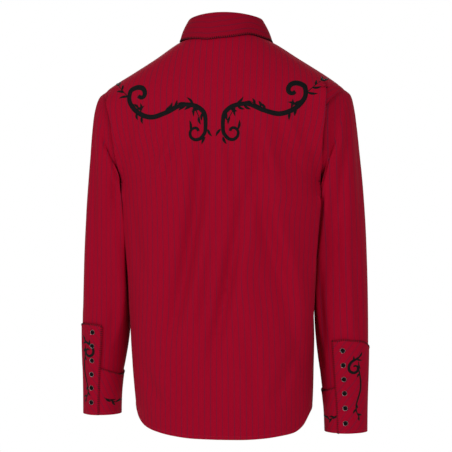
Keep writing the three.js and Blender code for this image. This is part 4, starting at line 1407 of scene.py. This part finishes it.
def edgeLine(panel, distance, rows, end, level):  # down a panel at a distance from one end
    points, normals = [], []
    for r in rows:
        run = runLength(panel["grid"][r])
        at = distance if end == 0 else run[-1] - distance
        points.append(sample(at, run, panel["grid"][r]))
        normals.append(sample(at, run, panel["normals"][r]))
    normals = unit(np.array(normals))
    return np.array(points) + normals * level, normals


# Rows of stitches: in from a seam, in from a cuff's foot and their height on seams and placket.
rowAt = {"seam": 5.6, "foot": 5.5, "level": 0.85, "onPlacket": 2.55}
seams, hemRow = Bundle(), -5
for panel in (back, frontLeft, frontRight):
    normals = panel["normals"][hemRow]
    stitchesAlong(seams, panel["grid"][hemRow] + normals * 0.9, normals)
armRows = [r for r, side in enumerate(back["sides"]) if -283 < side < -112]
shoulderRows = [r for r, side in enumerate(back["sides"]) if -100 < side < -6]
for end in (0, 1):
    stitchesAlong(seams, *edgeLine(back, rowAt["seam"], shoulderRows, end, rowAt["level"]))
for panel in (frontLeft, frontRight):
    stitchesAlong(seams, *edgeLine(panel, rowAt["seam"], armRows, 0, rowAt["level"]))
band = {"grid": bandGrid, "normals": bandNormals}
for end in (0, 1):
    rows = range(2, len(bandGrid) - 2)
    stitchesAlong(seams, *edgeLine(band, rowAt["seam"], rows, end, rowAt["onPlacket"]))
for cuff in cuffs.values():
    for part in (cuff["lapPart"], cuff["underPart"]):
        foot, normals = part["grid"][-1], part["normals"][-1]
        line = foot + unit(part["grid"][-3] - foot) * rowAt["foot"]
        stitchesAlong(seams, line + normals * (part["level"][:, None] + 0.68), normals)
seamStitches = seams.build("seamStitches", tonal)

whip = Bundle()
leafFace = leafGrid + leafNormals * collarHalf
whipAlong(whip, leafFace[-1], leafFace[-4], leafNormals[-1], sewing["whip"])
whipCollar = whip.build("whipStitchCollar", thread)
whipCuffs = {}
for word, cuff in cuffs.items():
    whip = Bundle()
    lap, under = cuff["lapPart"], cuff["underPart"]
    whipAlong(whip, lap["face"][:, 0], lap["face"][:, 3], lap["normals"][:, 0], sewing["whip"])
    whipAlong(whip, lap["face"][0], lap["face"][4], lap["normals"][0], sewing["whip"])
    whipAlong(whip, under["face"][0], under["face"][4], under["normals"][0], sewing["shortWhip"])
    whipCuffs[word] = whip.build(f"whipStitchCuff{word.capitalize()}", thread)
print("sewing made")

# Press snaps.
snapSize = {"rim": 5.0, "rimTall": 0.9, "cap": 4.5, "capTall": 2.6}


def deselect():
    bpy.ops.object.select_all(action="DESELECT")


def snapTemplate():
    deselect()
    bpy.ops.mesh.primitive_cylinder_add(
        vertices=32,
        radius=snapSize["rim"] * 0.001,
        depth=snapSize["rimTall"] * 0.001,
        location=(0, 0, snapSize["rimTall"] * 0.0005),
    )
    rim = bpy.context.object
    rim.data.materials.append(rimMetal)
    bpy.ops.object.mode_set(mode="EDIT")
    bpy.ops.mesh.select_mode(type="FACE")
    bpy.ops.mesh.select_all(action="DESELECT")
    bpy.ops.object.mode_set(mode="OBJECT")
    for face in rim.data.polygons:
        face.select = face.normal.z > 0.9
    bpy.ops.object.mode_set(mode="EDIT")
    bpy.ops.mesh.inset(thickness=0.0003, depth=0.0001)
    bpy.ops.mesh.inset(thickness=0.0002, depth=-0.0003)
    bpy.ops.object.mode_set(mode="OBJECT")
    soften = rim.modifiers.new("soft edges", "BEVEL")
    soften.width = 0.00018
    soften.segments = 2
    soften.limit_method = "ANGLE"
    bpy.ops.object.modifier_apply(modifier=soften.name)
    deselect()
    bpy.ops.mesh.primitive_uv_sphere_add(
        segments=32, ring_count=16, radius=snapSize["cap"] * 0.001, location=(0, 0, 0)
    )
    cap = bpy.context.object
    cap.data.materials.append(capGloss)
    bpy.ops.object.mode_set(mode="EDIT")
    bpy.ops.mesh.select_all(action="SELECT")
    bpy.ops.transform.resize(value=(1, 1, (snapSize["capTall"] - 0.7) / snapSize["cap"]))
    bpy.ops.transform.translate(value=(0, 0, 0.0007))
    bpy.ops.mesh.select_all(action="SELECT")
    bpy.ops.mesh.bisect(plane_co=(0, 0, 0.0007), plane_no=(0, 0, 1), clear_inner=True, use_fill=True)
    bpy.ops.object.mode_set(mode="OBJECT")
    deselect()
    cap.select_set(True)
    rim.select_set(True)
    bpy.context.view_layer.objects.active = rim
    bpy.ops.object.join()
    bpy.ops.object.shade_smooth_by_angle(angle=math.radians(40))
    rim.data.transform(rim.matrix_world)
    rim.matrix_world.identity()
    return rim


template = snapTemplate()


def placeSnap(name, nodeName, point, normal):
    obj = addObject(name, template.data.copy())
    turned = Vector(normal).to_track_quat("Z", "Y").to_matrix().to_4x4()
    turned.translation = Vector(point) * 0.001
    obj.data.transform(turned)
    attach(obj, "root")
    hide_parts(nodeName)
    return obj


for i, z in enumerate([-118, -223, -328, -433, -538, -643]):
    side = float(z)
    for _ in range(30):  # the side height whose front point lies at z
        side += z - float(bodyPoint(-90, side)[2])
    normal = bodyNormal(-90.0, side)
    point = bodyPoint(-90, side) + normal * 2.3
    placeSnap(f"snapFront{i + 1}", f"snap_front_{i + 1}", point, normal)
cuffSnaps = {"left": [], "right": []}
for word, cuff in cuffs.items():
    mirror = np.array([cuff["side"], 1, 1])
    rings = sleeveTurns(word, cuff["side"], cuff["snapTurn"] + np.array([-1.0, 0.0, 1.0]))
    for i, z in enumerate(cuff["snapZ"]):
        t = float(placeAlong(word, z)) + np.array([-0.05, 0, 0.05])
        near = throughRings(rings, np.broadcast_to(t[:, None], (3, 3)))
        normal = unit(np.cross(near[2, 1] - near[0, 1], near[1, 2] - near[1, 0]))
        normal = -normal if normal[1] < 0 else normal
        point = near[1, 1] + normal * (laid * 2 + 0.1 + cuffFace + 0.01)
        made = placeSnap(
            f"snap{word.capitalize()}{i + 1}", f"snap_{word}_{i + 1}", point * mirror, normal * mirror
        )
        cuffSnaps[word].append(made)
bpy.data.objects.remove(template, do_unlink=True)
print("snaps made")

# What each piece stands for.
for obj in (
    embroideryLeft, embroideryRight, seamStitches, whipCollar, *cuffEmbroidery.values(), *whipCuffs.values()
):
    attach(obj, "root")
cloth(back["object"], "back")
cloth(frontLeft["object"], "front_left")
cloth(frontRight["object"], "front_right")
cloth(placket, "placket")
cloth(stand, "collar_stand")
cloth(leaf, "collar_leaf")
cloth(sleeves["left"], "sleeve_left")
cloth(sleeves["right"], "sleeve_right")
for word, cuff in cuffs.items():
    cloth(
        cuff["lapPart"]["object"],
        f"cuff_{word}_lap",
    )
    cloth(cuff["underPart"]["object"], f"cuff_{word}_under")

# Stage, camera and light.
floorDisc = {"radius": 2.6, "level": -1.25, "sides": 64}
floor = bpy.data.meshes.new("floor")
rim = [
    (floorDisc["radius"] * math.cos(a), floorDisc["radius"] * math.sin(a), floorDisc["level"])
    for a in np.linspace(0, 2 * math.pi, floorDisc["sides"], endpoint=False)
]
floor.from_pydata(rim, [], [tuple(range(len(rim)))])
floorPaint, _, floorShader, _ = mottled("pale studio floor", 3, 2, "f4f4f4", "fafafa")
floorShader.inputs["Roughness"].default_value = 0.9
floor.materials.append(floorPaint)
addObject("studioFloor", floor)

scene = bpy.context.scene
scene.view_settings.view_transform = "Standard"
scene.view_settings.look = "None"
world = bpy.data.worlds.new("white studio")
scene.world = world
world.use_nodes = True
studio = world.node_tree  # white behind the shirt, and a weaker even light on it
backdrop = studio.nodes["Background"]
backdrop.inputs["Color"].default_value = (1, 1, 1, 1)
seen = node(studio, "ShaderNodeLightPath").outputs["Is Camera Ray"]
strength = node(studio, "ShaderNodeMapRange", {"To Min": 0.38, "To Max": 1.0}, Value=seen)
studio.links.new(strength.outputs[0], backdrop.inputs["Strength"])

view = {"lens": 119.47, "away": 3, "turn": 7, "height": -0.374, "aside": 0.0026}
camera = bpy.data.cameras.new("photo view")
camera.lens = view["lens"]
camera.sensor_width = 36
cameraObject = addObject("photo view", camera)
turn = math.radians(view["turn"])
aside = Vector((-math.cos(turn), -math.sin(turn), 0)) * view["aside"]
place = (-view["away"] * math.sin(turn), view["away"] * math.cos(turn), view["height"])
cameraObject.location = Vector(place) + aside
cameraObject.rotation_euler = (math.radians(90), 0, math.radians(180 + view["turn"]))
scene.camera = cameraObject

softboxes = {
    "softbox behind left": {"place": (1.9, 2.4, 0.9), "aim": -0.4, "size": (0.9, 1.2), "power": 31},
    "softbox behind right": {"place": (-1.5, 2.9, 0.5), "aim": -0.4, "size": (1.2, 1.6), "power": 29},
    "softbox front": {"place": (0.4, -2.8, 0.9), "aim": -0.35, "size": (1.8, 1.8), "power": 40},
}
for name, box in softboxes.items():
    light = bpy.data.lights.new(name, "AREA")
    light.shape = "RECTANGLE"
    light.size, light.size_y = box["size"]
    light.energy = box["power"]
    obj = addObject(name, light)
    obj.location = box["place"]
    aim = Vector((0, 0, box["aim"])) - Vector(box["place"])
    obj.rotation_euler = aim.to_track_quat("-Z", "Y").to_euler()

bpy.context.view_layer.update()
print("scene ready")
